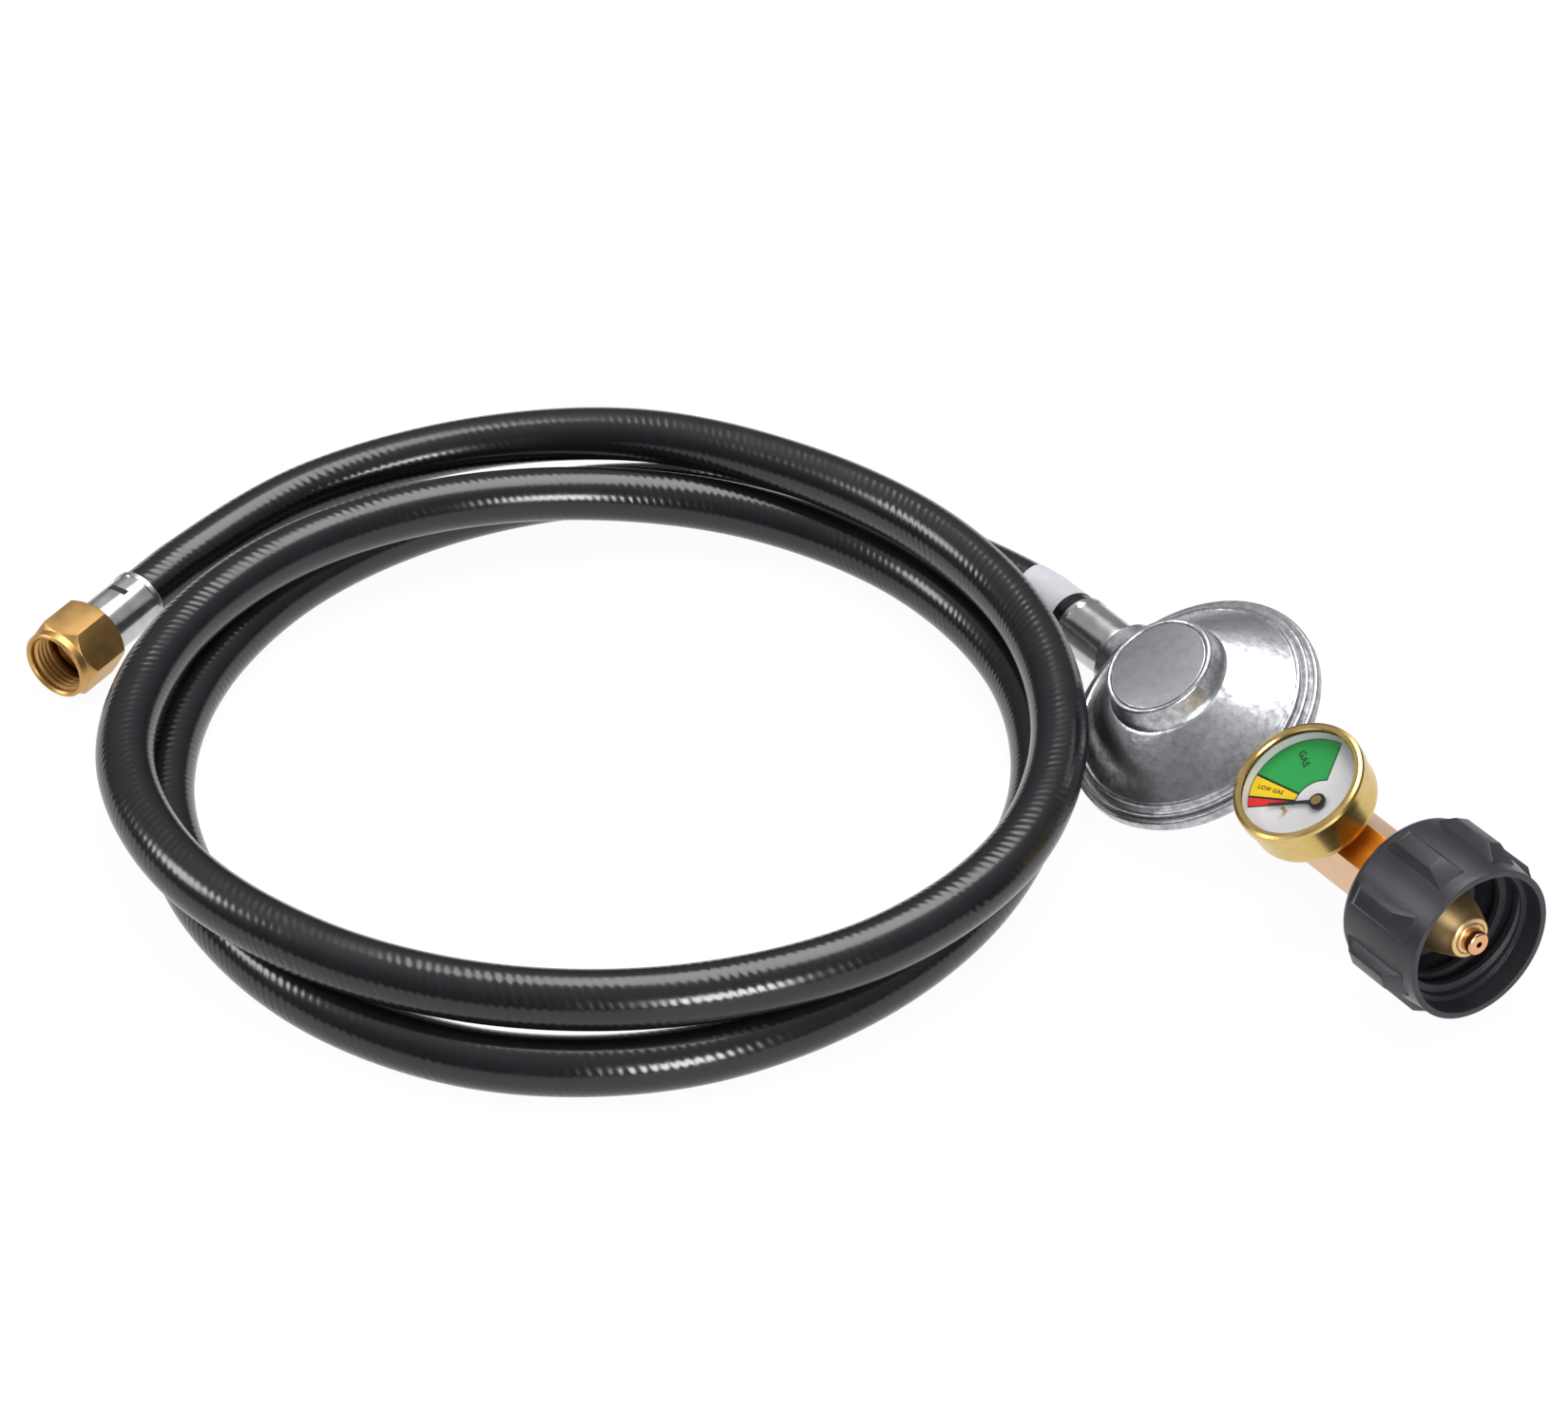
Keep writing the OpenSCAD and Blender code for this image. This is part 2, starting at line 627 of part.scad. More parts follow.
module gauge_block() {
    half = block_af / 2;
    corner = half / cos(30);
    color("#cf9a55") on_body() difference() {
        union() {
            rod_x(seat_x + 7.5, inlet_reach + eps, port_thread_r - run_gap);
            intersection() {
                hex_x(inlet_reach, wheel_x - 0.3, block_af);
                rotate([seam_turn, 0, 0])
                    revolved_x([[inlet_reach - 1, 0], [inlet_reach - 1, half - 0.9],
                        [inlet_reach + 1.2, corner + 0.3], [wheel_x - 1.5, corner + 0.3],
                        [wheel_x + 0.7, half - 0.9], [wheel_x + 0.7, 0]]);
            }
        }
        rod_x(seat_x, wheel_x, 2.6);
        rod_x(nipple_x, wheel_x, port_thread_r);
        translate([gauge_x, 0, 0]) {
            rod_z(0, half + 1, 1.2);
            rod_z(socket_floor, half + 1, socket_r);
        }
    }
}

// ---------------------------------------------------------------- gauge

case_low = gauge_h - case_depth;
case_r = bezel_r - 0.6;
case_in = case_r - 1.2;
glass_t = 1.5;
glass_low = gauge_h - glass_t;
dial_t = 0.6;
dial_h = gauge_h - 4.3;
dial_top = dial_h + dial_t;
pointer_h = dial_top + 0.5;
pointer_t = 0.6;
arbor_r = 0.7;
bridge_h = dial_h - 1.6;
spiral_low = case_low + 1.9;
spiral_high = bridge_h - 0.6;
pointer_sweep = 100;

module on_gauge() {
    on_body() translate([gauge_x, 0, 0]) children();
}

module at_hub() {
    on_gauge() translate([hub_offset, -0.4, 0]) children();
}

module gauge_case() {
    color("#d3ab62") on_gauge() difference() {
        rotate_extrude() polygon(concat([[0, socket_floor + 0.2],
            [socket_r - run_gap, socket_floor + 0.2], [socket_r - run_gap, case_low - 1.6],
            [socket_r + 2, case_low]],
            arc([case_r - 3, case_low + 3], 3, -90, 0),
            [[case_r, glass_low], [case_in, glass_low], [case_in, case_low + 2.4]],
            arc([case_in - 1.2, case_low + 2.4], 1.2, 0, -90), [[0, case_low + 1.2]]));
        rod_z(0, case_low + 2, 1.2);
    }
}

module gauge_bezel() {
    color("#c9a24e") on_gauge() rotate_extrude() polygon([[window_r, gauge_h],
        [window_r + 0.3, gauge_h + 0.4], [bezel_r - 1, gauge_h + 0.4],
        [bezel_r - 0.3, gauge_h + 0.1], [bezel_r, gauge_h - 0.6], [bezel_r, gauge_h - 3],
        [bezel_r - 0.2, gauge_h - 3.2], [case_r + run_gap, gauge_h - 3.2],
        [case_r + run_gap, glass_low], [window_r + 1, glass_low], [window_r + 1, gauge_h]]);
}

module gauge_glass() {
    color("#e9eef0") on_gauge() rod_z(glass_low, gauge_h, window_r + 1 - run_gap);
}

// The dial lies on a ledge of the bridge and has a hole for the arbor.
module gauge_dial() {
    color("#f0efed") difference() {
        on_gauge() rod_z(dial_h, dial_top, case_in - run_gap);
        at_hub() rod_z(dial_h - 1, dial_top + 1, arbor_r + free_gap);
    }
}

stop_turn = pointer_rest + 12;

module dial_stop() {
    color("#c08a4a") at_hub() rotate([0, 0, stop_turn]) translate([8.5, 0, dial_top])
        cylinder(r = 0.5, h = 1.5);
}

module pointer() {
    color("#2b2b2d") at_hub() rotate([0, 0, pointer_rest]) difference() {
        union() {
            rod_z(pointer_h, pointer_h + pointer_t, 2.4);
            translate([0, 0, pointer_h]) linear_extrude(pointer_t) polygon([[-3.4, -0.7],
                [-3.4, 0.7], [0, 0.6], [pointer_len - 3, 0.45], [pointer_len, 0.1],
                [pointer_len, -0.1], [pointer_len - 3, -0.45], [0, -0.6]]);
        }
        rod_z(pointer_h - 1, pointer_h + 2, arbor_r);
    }
}

// The arbor carries the pointer on top and the inner end of the spiral tube below.
module pointer_arbor() {
    color("#d2a860") at_hub() {
        rod_z(case_low + 1.5, pointer_h + pointer_t, arbor_r);
        rod_z(pointer_h + pointer_t, pointer_h + pointer_t + 0.4, arbor_r + 0.6);
        rod_z(spiral_low + 1, spiral_high - 1, spiral_in - 0.4);
    }
}

// A bridge on two legs carries the dial and guides the arbor.
module arbor_bearing() {
    color("#b98f4a") at_hub() difference() {
        union() {
            translate([-2, -11.1, bridge_h]) cube([4, 22.2, dial_h - bridge_h]);
            for (side = [-1, 1]) translate([-1.7, side * 10.1 - 1, case_low + 1.2])
                cube([3.4, 2, bridge_h - case_low - 1.2]);
        }
        rod_z(bridge_h - 1, dial_h + 1, arbor_r + run_gap);
    }
}

spiral_in = 2;
spiral_out = 8.2;
spiral_turns = 2.5;
spiral_t = 0.5;

function spiral_point(i, n, side) = let (a = 360 * spiral_turns * i / n,
    r = spiral_in + (spiral_out - spiral_in) * i / n + side * spiral_t / 2) r * [cos(a), sin(a)];

// The pressure sensing tube, wound flat round the arbor.
module bourdon_spiral() {
    n = 60;
    color("#b58a48") at_hub() translate([0, 0, spiral_low]) linear_extrude(spiral_high - spiral_low)
        polygon(concat([for (i = [0 : n]) spiral_point(i, n, 1)],
            [for (i = [n : -1 : 0]) spiral_point(i, n, -1)]));
}

// ---------------------------------------------------------------- inlet nipple

flange_x = wheel_x + 6.7;
nose_x = flange_x + 1.6;
tip_x = wheel_front - tip_back;
roll_x = tip_x - 7;
flow_bore = 4.7;
flow_end = nose_x + 0.4;
flow_travel = 2.5;
stop_x = nipple_x + 5;
poppet_len = 6;
poppet_x = flow_end - 0.1 - poppet_len;

// The nose is a bullet, widest at the flange and drawn in to the rolled ring at its end.
function nose_points() = [for (i = [0 : 10]) let (t = i / 10)
    [nose_x + t * (roll_x - nose_x), nose_r - (nose_r - 5) * (0.35 * t + 0.65 * t * t)]];

module inlet_nipple() {
    color("#d0a660") on_body() difference() {
        revolved_x(concat([[nipple_x, 0], [nipple_x, port_thread_r - run_gap],
            [wheel_x - 0.3, port_thread_r - run_gap], [wheel_x - 0.3, neck_r],
            [flange_x, neck_r], [flange_x, 12.6], [flange_x + 0.4, 13], [nose_x - 0.4, 13],
            [nose_x, 12.6]], nose_points(),
            [[roll_x, 3.9], [roll_x + 0.8, 3.9], [roll_x + 1, 4.5]],
            arc([roll_x + 2, 3.9], 0.9, 120, 0, 5),
            [[roll_x + 3, 3.4], [roll_x + 3, 0]]));
        rod_x(nipple_x - eps, flow_end, flow_bore);
        rod_x(nipple_x, roll_x + 4, 2.2);
        rod_x(roll_x - 1, roll_x + 4, 3 + run_gap);
    }
}

// The soft seal at the foot of the nose.
module nipple_washer() {
    color("#2b2b2d") on_body() translate([nose_x, 0, 0]) rotate([90, 0, 90])
        ring_z(0, 1.4, 12.2, nose_r + run_gap);
}

// The probe opens the tank's own valve and has the gas hole in its end.
module probe_tip() {
    color("#dcb07c") on_body() difference() {
        revolved_x(concat([[roll_x - 1, 0], [roll_x - 1, 3], [tip_x - 0.8, 3]],
            arc([tip_x - 0.8, 2.2], 0.8, 90, 0, 4), [[tip_x, 0]]));
        rod_x(roll_x - 2, tip_x - 1.6, 1.9);
        rod_x(roll_x, tip_x + 1, 0.8);
    }
}

// The excess-flow poppet slides towards the regulator and shuts on the stop ring.
module flow_poppet() {
    color("#d8d3c6") on_body() difference() {
        revolved_x([[stop_x + flow_travel + 0.1, 0], [stop_x + flow_travel + 0.1, 2.2],
            [stop_x + flow_travel + 0.6, 2.7], [poppet_x, 2.7], [poppet_x, flow_bore - run_gap],
            [flow_end - 0.1, flow_bore - run_gap], [flow_end - 0.1, 0]]);
        // flutes that let the gas past, and the groove across the front
        for (turn = [0, 90]) rotate([turn, 0, 0]) {
            for (side = [-1, 1]) translate([poppet_x - 1, side * (flow_bore + 0.3) - 1.2, -1.4])
                cube([poppet_len + 2, 2.4, 2.8]);
            translate([flow_end - 1.2, -flow_bore, -1]) cube([2, 2 * flow_bore, 2]);
        }
    }
}

flow_wire = 0.6;

module poppet_spring() {
    r = 3.9 - flow_wire / 2;
    length = poppet_x - stop_x - flow_wire;
    color("#c9ccd0") on_body() translate([stop_x + flow_wire / 2, 0, 0]) rotate([90, 0, 90])
        swept(helix(r, length, 4, 8), flow_wire / 2 * 0.96, 6);
}

module poppet_stop() {
    color("#caa052") on_body() translate([stop_x - 2.6, 0, 0]) rotate([90, 0, 90])
        ring_z(0, 2.6, flow_bore - run_gap, 1.9);
}

// ---------------------------------------------------------------- hand nut

grip_low = wheel_r - 1.5;
grip_top_w = 0.68 * grip_w;
collar_x = wheel_front - 5.6;
cavity_x = wheel_x + wheel_back;

// A grip: its side view cut with its cross section.
module grip() {
    intersection() {
        rotate([90, 0, 0]) linear_extrude(2 * grip_w, center = true) polygon([
            [wheel_x + 1.2, grip_low], [wheel_x + 1.2, wheel_r - 0.2], [grip_heel, grip_r],
            [collar_x - 4, grip_r], [collar_x, wheel_r - 0.4], [collar_x, grip_low]]);
        translate([wheel_x, 0, 0]) rotate([90, 0, 90]) linear_extrude(wheel_len) polygon([
            [-grip_w / 2, grip_low], [grip_w / 2, grip_low], [grip_w / 2, wheel_r - 0.6],
            [grip_top_w / 2, grip_r], [-grip_top_w / 2, grip_r], [-grip_w / 2, wheel_r - 0.6]]);
    }
}

module hand_nut() {
    color("#48484c") on_body() difference() {
        union() {
            revolved_x([[wheel_x, 0], [wheel_x, wheel_r - 1.6], [wheel_x + 1.2, wheel_r - 0.4],
                [wheel_x + 6, wheel_r], [wheel_front - 0.5, wheel_r],
                [wheel_front, wheel_r - 0.5], [wheel_front, 0]]);
            // the first grip points straight down
            for (i = [0 : grips - 1]) rotate([180 - roll + 360 * i / grips, 0, 0]) grip();
        }
        rod_x(wheel_x - 1, wheel_front + 1, neck_r + run_gap);
        rod_x(cavity_x, wheel_front + 1, tank_thread_r);
        rod_x(wheel_front - mouth_depth, wheel_front + 1, mouth_r);
    }
}

// This bushing melts in a fire and lets the nut's grip on the tank go.
module heat_bushing() {
    color("#9c9a94") on_body() translate([cavity_x, 0, 0]) rotate([90, 0, 90])
        ring_z(0, flange_x - cavity_x - free_gap, 14.6, neck_r + free_gap);
}

// ---------------------------------------------------------------- hose

// The hose leaves the regulator, runs two and a third loose turns and ends at the flare nut.
// Middle of the hose, point by point.
route = [
    [-139, -6.5, 7.5], [-177.5, -31.5, 7.2], [-203.5, -69, 7.5], [-213, -113.5, 7.5],
    [-205.5, -158.5, 7.5], [-181.5, -197.5, 7.2], [-144.5, -224, 7.2], [-100, -233.5, 7.2],
    [-55, -226, 7.2], [-17.5, -201, 7.2], [5, -161.5, 7.2], [8, -116, 7.2], [-6, -72.5, 7.2],
    [-35, -37.5, 7.5], [-77, -17.5, 8], [-123.5, -18.5, 9.5], [-164.5, -39.5, 12],
    [-191.5, -75.5, 16], [-204, -119.5, 20], [-200.5, -165, 22.5], [-180, -205.5, 23],
    [-144, -233.5, 23], [-99, -239.5, 23], [-55.5, -224.5, 22.5], [-21, -195.5, 22],
    [2, -156, 22], [10, -111, 22.5], [-1, -68, 23.5], [-30.5, -35, 24.5], [-71.5, -17, 26],
    [-116.5, -16.5, 27], [-160.5, -31.5, 26.5], [-199.5, -57.5, 24], [-225, -95.5, 19.5],
    [-235, -140, 14.5]];

hose_start = tail_collar + 1.1;
near_dir = laid([-1, 0, 0]) - laid([0, 0, 0]);
near_a = laid([-outlet_reach - hose_start, outlet_offset, 0]);
near_b = laid([-ferrule_end - hose_d, outlet_offset, 0]);
far_dir = [-cos(far_turn), -sin(far_turn), 0];
far_a = far_nut + (far_front + 1.1) * far_dir;
far_b = far_nut + (far_front + ferrule_len + hose_d) * far_dir;

// A smooth curve through the points, two steps from point to point.
function bend(a, b, c, d, t) = 0.5 * (2 * b + (c - a) * t + (2 * a - 5 * b + 4 * c - d) * t * t
    + (3 * b - a - 3 * c + d) * t * t * t);

knots = concat([near_b], route, [far_b]);
last = len(knots) - 1;
guide = concat([near_b - norm(route[0] - near_b) * near_dir], knots,
    [far_b - norm(far_b - knots[last - 1]) * far_dir]);
curve = [for (i = [0 : last - 1]) for (t = [0, 0.5])
    bend(guide[i], guide[i + 1], guide[i + 2], guide[i + 3], t)];
hose_path = concat([near_a, near_b - hose_d * near_dir], curve,
    [far_b, far_b + hose_d * -far_dir, far_a]);

// Least gap between stretches of the hose that are not neighbours.
fine = [for (i = [0 : len(hose_path) - 2]) for (k = [0 : 7])
    hose_path[i] + (hose_path[i + 1] - hose_path[i]) * k / 8];
apart = 24;
hose_gap = min([for (i = [0 : len(fine) - 1 - apart]) for (j = [i + apart : len(fine) - 1])
    norm(fine[i] - fine[j])]) - hose_d;
hose_run = [for (i = [1 : len(hose_path) - 1]) norm(hose_path[i] - hose_path[i - 1])];
function total(v, i = 0) = i == len(v) ? 0 : v[i] + total(v, i + 1);
echo(hose_length = total(hose_run), hose_least_gap = hose_gap);

module hose() {
    color("#39393d") swept(hose_path, hose_d / 2, 10, hose_bore / 2);
}

lower_casting();
bonnet();
tower_cap();
adjusting_screw();
main_spring();
diaphragm();
diaphragm_plate();
diaphragm_stem();
lever();
lever_pin();
valve_holder();
valve_seat();
orifice();
vent_screen();
outlet_tail();
near_ferrule();
gauge_block();
gauge_case();
gauge_bezel();
gauge_glass();
gauge_dial();
dial_stop();
pointer();
pointer_arbor();
arbor_bearing();
bourdon_spiral();
inlet_nipple();
nipple_washer();
probe_tip();
flow_poppet();
poppet_spring();
poppet_stop();
hand_nut();
heat_bushing();
hose();
far_ferrule();
flare_tail();
flare_nut();
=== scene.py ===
# %% [markdown]
# A propane regulator with its hose
# =================================
# The regulator is a zinc casting with a bonnet, a gauge on a brass block and a plastic hand nut for
# the tank. A rubber hose goes round in a coil beside it and ends in a brass flare nut.
# The CAD model gives every solid and every joint, so it is loaded first as a fixed frame.
# All that is made here is placed from that frame, so nothing has to be fitted by eye.

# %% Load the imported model
import json
import math

import bmesh
import bpy
from mathutils import Matrix, Vector


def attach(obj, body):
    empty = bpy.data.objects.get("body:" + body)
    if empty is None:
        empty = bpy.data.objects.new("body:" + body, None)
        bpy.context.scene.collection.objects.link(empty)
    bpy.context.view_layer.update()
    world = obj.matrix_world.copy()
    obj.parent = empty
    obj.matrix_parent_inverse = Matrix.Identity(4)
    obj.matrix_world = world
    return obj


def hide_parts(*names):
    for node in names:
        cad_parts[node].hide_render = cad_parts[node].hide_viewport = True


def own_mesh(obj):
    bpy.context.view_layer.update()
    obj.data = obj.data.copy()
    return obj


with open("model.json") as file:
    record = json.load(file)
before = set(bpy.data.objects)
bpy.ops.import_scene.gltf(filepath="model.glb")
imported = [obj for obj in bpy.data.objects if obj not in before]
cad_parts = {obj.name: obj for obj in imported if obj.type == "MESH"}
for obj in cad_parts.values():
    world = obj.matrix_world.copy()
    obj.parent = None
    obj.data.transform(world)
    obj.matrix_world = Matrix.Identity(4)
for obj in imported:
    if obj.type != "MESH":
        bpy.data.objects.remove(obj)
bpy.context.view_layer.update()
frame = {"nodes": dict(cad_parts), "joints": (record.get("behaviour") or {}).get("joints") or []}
nodes = frame["nodes"]

# %% [markdown]
# Two places to work from
# -----------------------
# Most sizes of a regulator are known along two of its own axes: the inlet axis through the hand
# nut and the bonnet's axis through the diaphragm. A matrix for that tilted place lets each piece be
# drawn in plain millimetres and then set down in the model. A second matrix does it for the nut at
# the hose's far end. Both come from the joints, which already lie on those axes.

# %% The regulator's own axes, and the flare nut's
MM = 0.001
HAND_NUT_X = 77.7

joint = {j["name"]: j for j in frame["joints"]}
inlet_axis = Vector(joint["tank_nut_turn"]["axis"]).normalized()
bonnet_axis = Vector(joint["pointer_sweep"]["axis"]).normalized()
across_axis = bonnet_axis.cross(inlet_axis)
middle = Vector(joint["tank_nut_turn"]["pos_m"]) - inlet_axis * HAND_NUT_X * MM


def place(origin, x_axis, y_axis, z_axis):
    """A matrix that takes millimetres along three axes to metres in the model."""
    turn = Matrix((x_axis, y_axis, z_axis)).transposed().to_4x4()
    return Matrix.Translation(origin) @ turn @ Matrix.Scale(MM, 4)


REGULATOR = place(middle, inlet_axis, across_axis, bonnet_axis)

# the flare nut is measured from its open mouth back towards the hose
mouth = Vector(joint["appliance_nut_turn"]["pos_m"])
back_axis = -Vector(joint["appliance_nut_turn"]["axis"]).normalized()
up_axis = Vector((0, 0, 1))
FLARE = place(mouth, back_axis, up_axis.cross(back_axis), up_axis)
print("bonnet tilt:", round(math.degrees(bonnet_axis.angle(up_axis)), 1), "degrees")

# %% [markdown]
# Camera
# ------
# The whole coil has to be in view with the regulator in front. A short lens close by would swell the
# hand nut, which is nearest, so the camera stands more than a metre off with a long one. It looks
# across the coil and down at about 38 degrees, where the coil's ellipse is still wide open.

# %% Camera
LENS = 97.3
SENSOR = 36
CAMERA_PLACE = Vector((0.63252, -0.51289, 0.66935))
CAMERA_TARGET = Vector((-0.10150, -0.07106, 0.0))

looking = CAMERA_TARGET - CAMERA_PLACE
camera_data = bpy.data.cameras.new("camera")
camera_data.lens = LENS
camera_data.sensor_width = SENSOR
camera_data.clip_end = 20
camera = bpy.data.objects.new("camera", camera_data)
camera.location = CAMERA_PLACE
camera.rotation_euler = looking.to_track_quat("-Z", "Y").to_euler()
bpy.context.scene.collection.objects.link(camera)
bpy.context.scene.camera = camera
print("camera looks down", round(math.degrees(math.asin(-looking.z / looking.length)), 1), "degrees")

# %% [markdown]
# Helpers for materials
# ---------------------
# Colours are written as they are seen, as hex codes in sRGB. A shader works in linear light, so one
# function turns them. A second function adds a node, sets it and links it in one go, which keeps
# each material short enough to read as a list of what the surface has. Nearly every surface here
# ends in the same three links, for its colour, its roughness and its relief, so they have one too.

# %% Colour and node helpers
def colour(code):
    """An sRGB hex code as linear red, green, blue and alpha."""
    parts = [int(code[i:i + 2], 16) / 255 for i in (1, 3, 5)]
    return [p / 12.92 if p <= 0.04045 else ((p + 0.055) / 1.055) ** 2.4 for p in parts] + [1]


def add(tree, kind, inputs=None, **settings):
    """Adds a node. An input is a value, or the socket that feeds it."""
    node = tree.nodes.new("ShaderNode" + kind)
    for name, value in settings.items():
        setattr(node, name, value)
    for name, value in (inputs or {}).items():
        if isinstance(value, bpy.types.NodeSocket):
            tree.links.new(value, node.inputs[name])
        else:
            node.inputs[name].default_value = value
    return node


def new_material(name):
    """An empty material, its node tree, its Principled shader and object coordinates."""
    material = bpy.data.materials.new(name)
    material.use_nodes = True
    tree = material.node_tree
    tree.nodes.clear()
    shader = add(tree, "BsdfPrincipled")
    add(tree, "OutputMaterial", {"Surface": shader.outputs[0]})
    return material, tree, shader, add(tree, "TexCoord").outputs["Object"]


def cover(tree, shader, tone, dull, bump):
    """Links a surface's colour, roughness and relief to its shader."""
    tree.links.new(tone.outputs["Result"], shader.inputs["Base Color"])
    tree.links.new(dull.outputs[0], shader.inputs["Roughness"])
    tree.links.new(bump.outputs[0], shader.inputs["Normal"])


def feature(millimetres):
    """The scale of a noise whose patches are about this wide."""
    return 1 / (millimetres * MM)


# %% [markdown]
# Floor
# -----
# The hose lies on a sheet of white studio paper. A brighter lamp would make it white, but would also
# bleach the brass and the sleeve. So the floor glows a little by itself for the rays that are seen,
# directly or in a reflection, and Light Path tells those from the rays that light the object. The
# rest of its brightness comes from the lamps, and where they are blocked a soft shadow shows.

# %% Floor
FLOOR_SIZE = 12.0
# a glow of 1 would be pure white, and would leave no room for the shadow
FLOOR_GLOW = 0.945

floor_mesh = bpy.data.meshes.new("floor")
half = FLOOR_SIZE / 2
corners = [(-half, -half, 0), (half, -half, 0), (half, half, 0), (-half, half, 0)]
floor_mesh.from_pydata(corners, [], [(0, 1, 2, 3)])
floor = bpy.data.objects.new("floor", floor_mesh)
bpy.context.scene.collection.objects.link(floor)

floor_material = bpy.data.materials.new("pale_floor")
floor_material.use_nodes = True
tree = floor_material.node_tree
tree.nodes.clear()
ray = add(tree, "LightPath").outputs
seen = add(tree, "Math", {0: ray["Is Camera Ray"], 1: ray["Is Glossy Ray"]}, operation="MAXIMUM")
seen = add(tree, "Math", {0: seen.outputs[0], 1: ray["Is Transmission Ray"]}, operation="MAXIMUM")
plain = add(tree, "BsdfDiffuse", {"Color": colour("#c9c9ca")})
shaded = add(tree, "BsdfDiffuse", {"Color": colour("#47474a")})
glow = add(tree, "Emission", {"Color": (1, 1, 1, 1), "Strength": FLOOR_GLOW})
white = add(tree, "AddShader", {0: shaded.outputs[0], 1: glow.outputs[0]})
mixed = add(tree, "MixShader", {0: seen.outputs[0], 1: plain.outputs[0], 2: white.outputs[0]})
add(tree, "OutputMaterial", {"Surface": mixed.outputs[0]})
floor_mesh.materials.append(floor_material)
print("floor:", FLOOR_SIZE, "m square")

# %% [markdown]
# The studio round it
# -------------------
# Bare metal has hardly a colour of its own: it shows what stands round it. In plain white it would
# look like paper, so the world's light runs from dark near the floor to pale overhead, as in a studio
# with a lit ceiling. A picture of a real studio would do too, but a ramp needs no file. To the eye
# and through glass the world is plain white.

# %% World
# the ramp's strength as a light; in a mirror it has its full strength
AMBIENT = 0.8
# where the mirrored studio starts and ends growing darker towards the camera's side, as the cosine of
# the angle, and the share of its light that is left there
DARK_FROM, DARK_FULL, DARK_SHARE = 0.35, 0.8, 0.6

world = bpy.data.worlds.new("studio")
bpy.context.scene.world = world
world.use_nodes = True
tree = world.node_tree
tree.nodes.clear()
ray = add(tree, "LightPath").outputs
direction = add(tree, "TexCoord").outputs["Generated"]
height = add(tree, "SeparateXYZ", {0: direction}).outputs["Z"]
studio = add(tree, "ValToRGB", {0: height})
ramp = studio.color_ramp
ramp.elements[0].position, ramp.elements[0].color = 0.02, colour("#515155")
ramp.elements[1].position, ramp.elements[1].color = 0.9, colour("#f4f4f6")
for position, code in ((0.16, "#6c6c70"), (0.34, "#8c8c90"), (0.62, "#aaaaaf")):
    ramp.elements.new(position).color = colour(code)
lit = add(tree, "Background", {"Color": studio.outputs[0], "Strength": AMBIENT})
# a studio is dimmer on the side where the camera stands, and that draws a dark band along the hose
toward = -looking.normalized()
beside = add(tree, "VectorMath", {0: direction, 1: toward}, operation="DOT_PRODUCT")
dim = add(tree, "MapRange", {"Value": beside.outputs["Value"], "From Min": DARK_FROM,
                             "From Max": DARK_FULL, "To Min": 1.0, "To Max": DARK_SHARE})
mirrored = add(tree, "Background", {"Color": studio.outputs[0], "Strength": dim.outputs[0]})
backdrop = add(tree, "Background", {"Color": (1, 1, 1, 1), "Strength": 1.0})
in_metal = add(tree, "MixShader", {0: ray["Is Glossy Ray"], 1: lit.outputs[0], 2: mirrored.outputs[0]})
clear = add(tree, "Math", {0: ray["Is Camera Ray"], 1: ray["Is Transmission Ray"]}, operation="MAXIMUM")
seen = add(tree, "MixShader", {0: clear.outputs[0], 1: in_metal.outputs[0], 2: backdrop.outputs[0]})
add(tree, "OutputWorld", {"Surface": seen.outputs[0]})
print("world: ambient light", AMBIENT)

# %% [markdown]
# Lamps
# -----
# Three square soft boxes, as in a product studio. The large one overhead makes the soft shadow. A
# smaller one from the left draws the edge of the coil, and one from beside the camera lights the hand
# nut's mouth and the nose inside it. Point lamps would do for light alone, but it is the width of an
# area lamp that makes highlights broad and shadows soft.

# %% Lamps
# name, place, target, width, watts
LAMPS = [
    ("overhead_box", (-0.35, 0.3, 1.4), (-0.1, -0.1, 0), 1.05, 19),
    ("left_box", (-0.9, -1.2, 0.9), (-0.05, -0.05, 0.02), 0.5, 8),
    ("front_box", (1.3, -0.35, 0.5), (0.07, 0.0, 0.03), 0.5, 17),
]
for name, at, target, width, watts in LAMPS:
    lamp_data = bpy.data.lights.new(name, "AREA")
    lamp_data.size = width
    lamp_data.energy = watts
    lamp = bpy.data.objects.new(name, lamp_data)
    lamp.location = at
    lamp.rotation_euler = (Vector(target) - Vector(at)).to_track_quat("-Z", "Y").to_euler()
    bpy.context.scene.collection.objects.link(lamp)
    print(name, watts, "W")

# colours are shown as they are written, without a film's curve
bpy.context.scene.view_settings.view_transform = "Standard"

# %% [markdown]
# Helpers for pieces
# ------------------
# Every new piece is a mesh that is drawn in millimetres, set down by one of the matrices, given a
# material and a body to ride on. It could be built from Blender's own cylinders and modifiers, but
# points that are worked out keep the real sizes in sight. Faces are smooth, and edges over a given
# angle stay sharp.

# %% Piece helpers
# points that are closer than this, in millimetres, are one
WELD = 0.0005


def settle(name, mesh, material, body):
    """Puts a mesh in the scene as an object that rides on a body."""
    mesh.materials.append(material)
    made = bpy.data.objects.new(name, mesh)
    bpy.context.scene.collection.objects.link(made)
    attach(made, body)
    return made


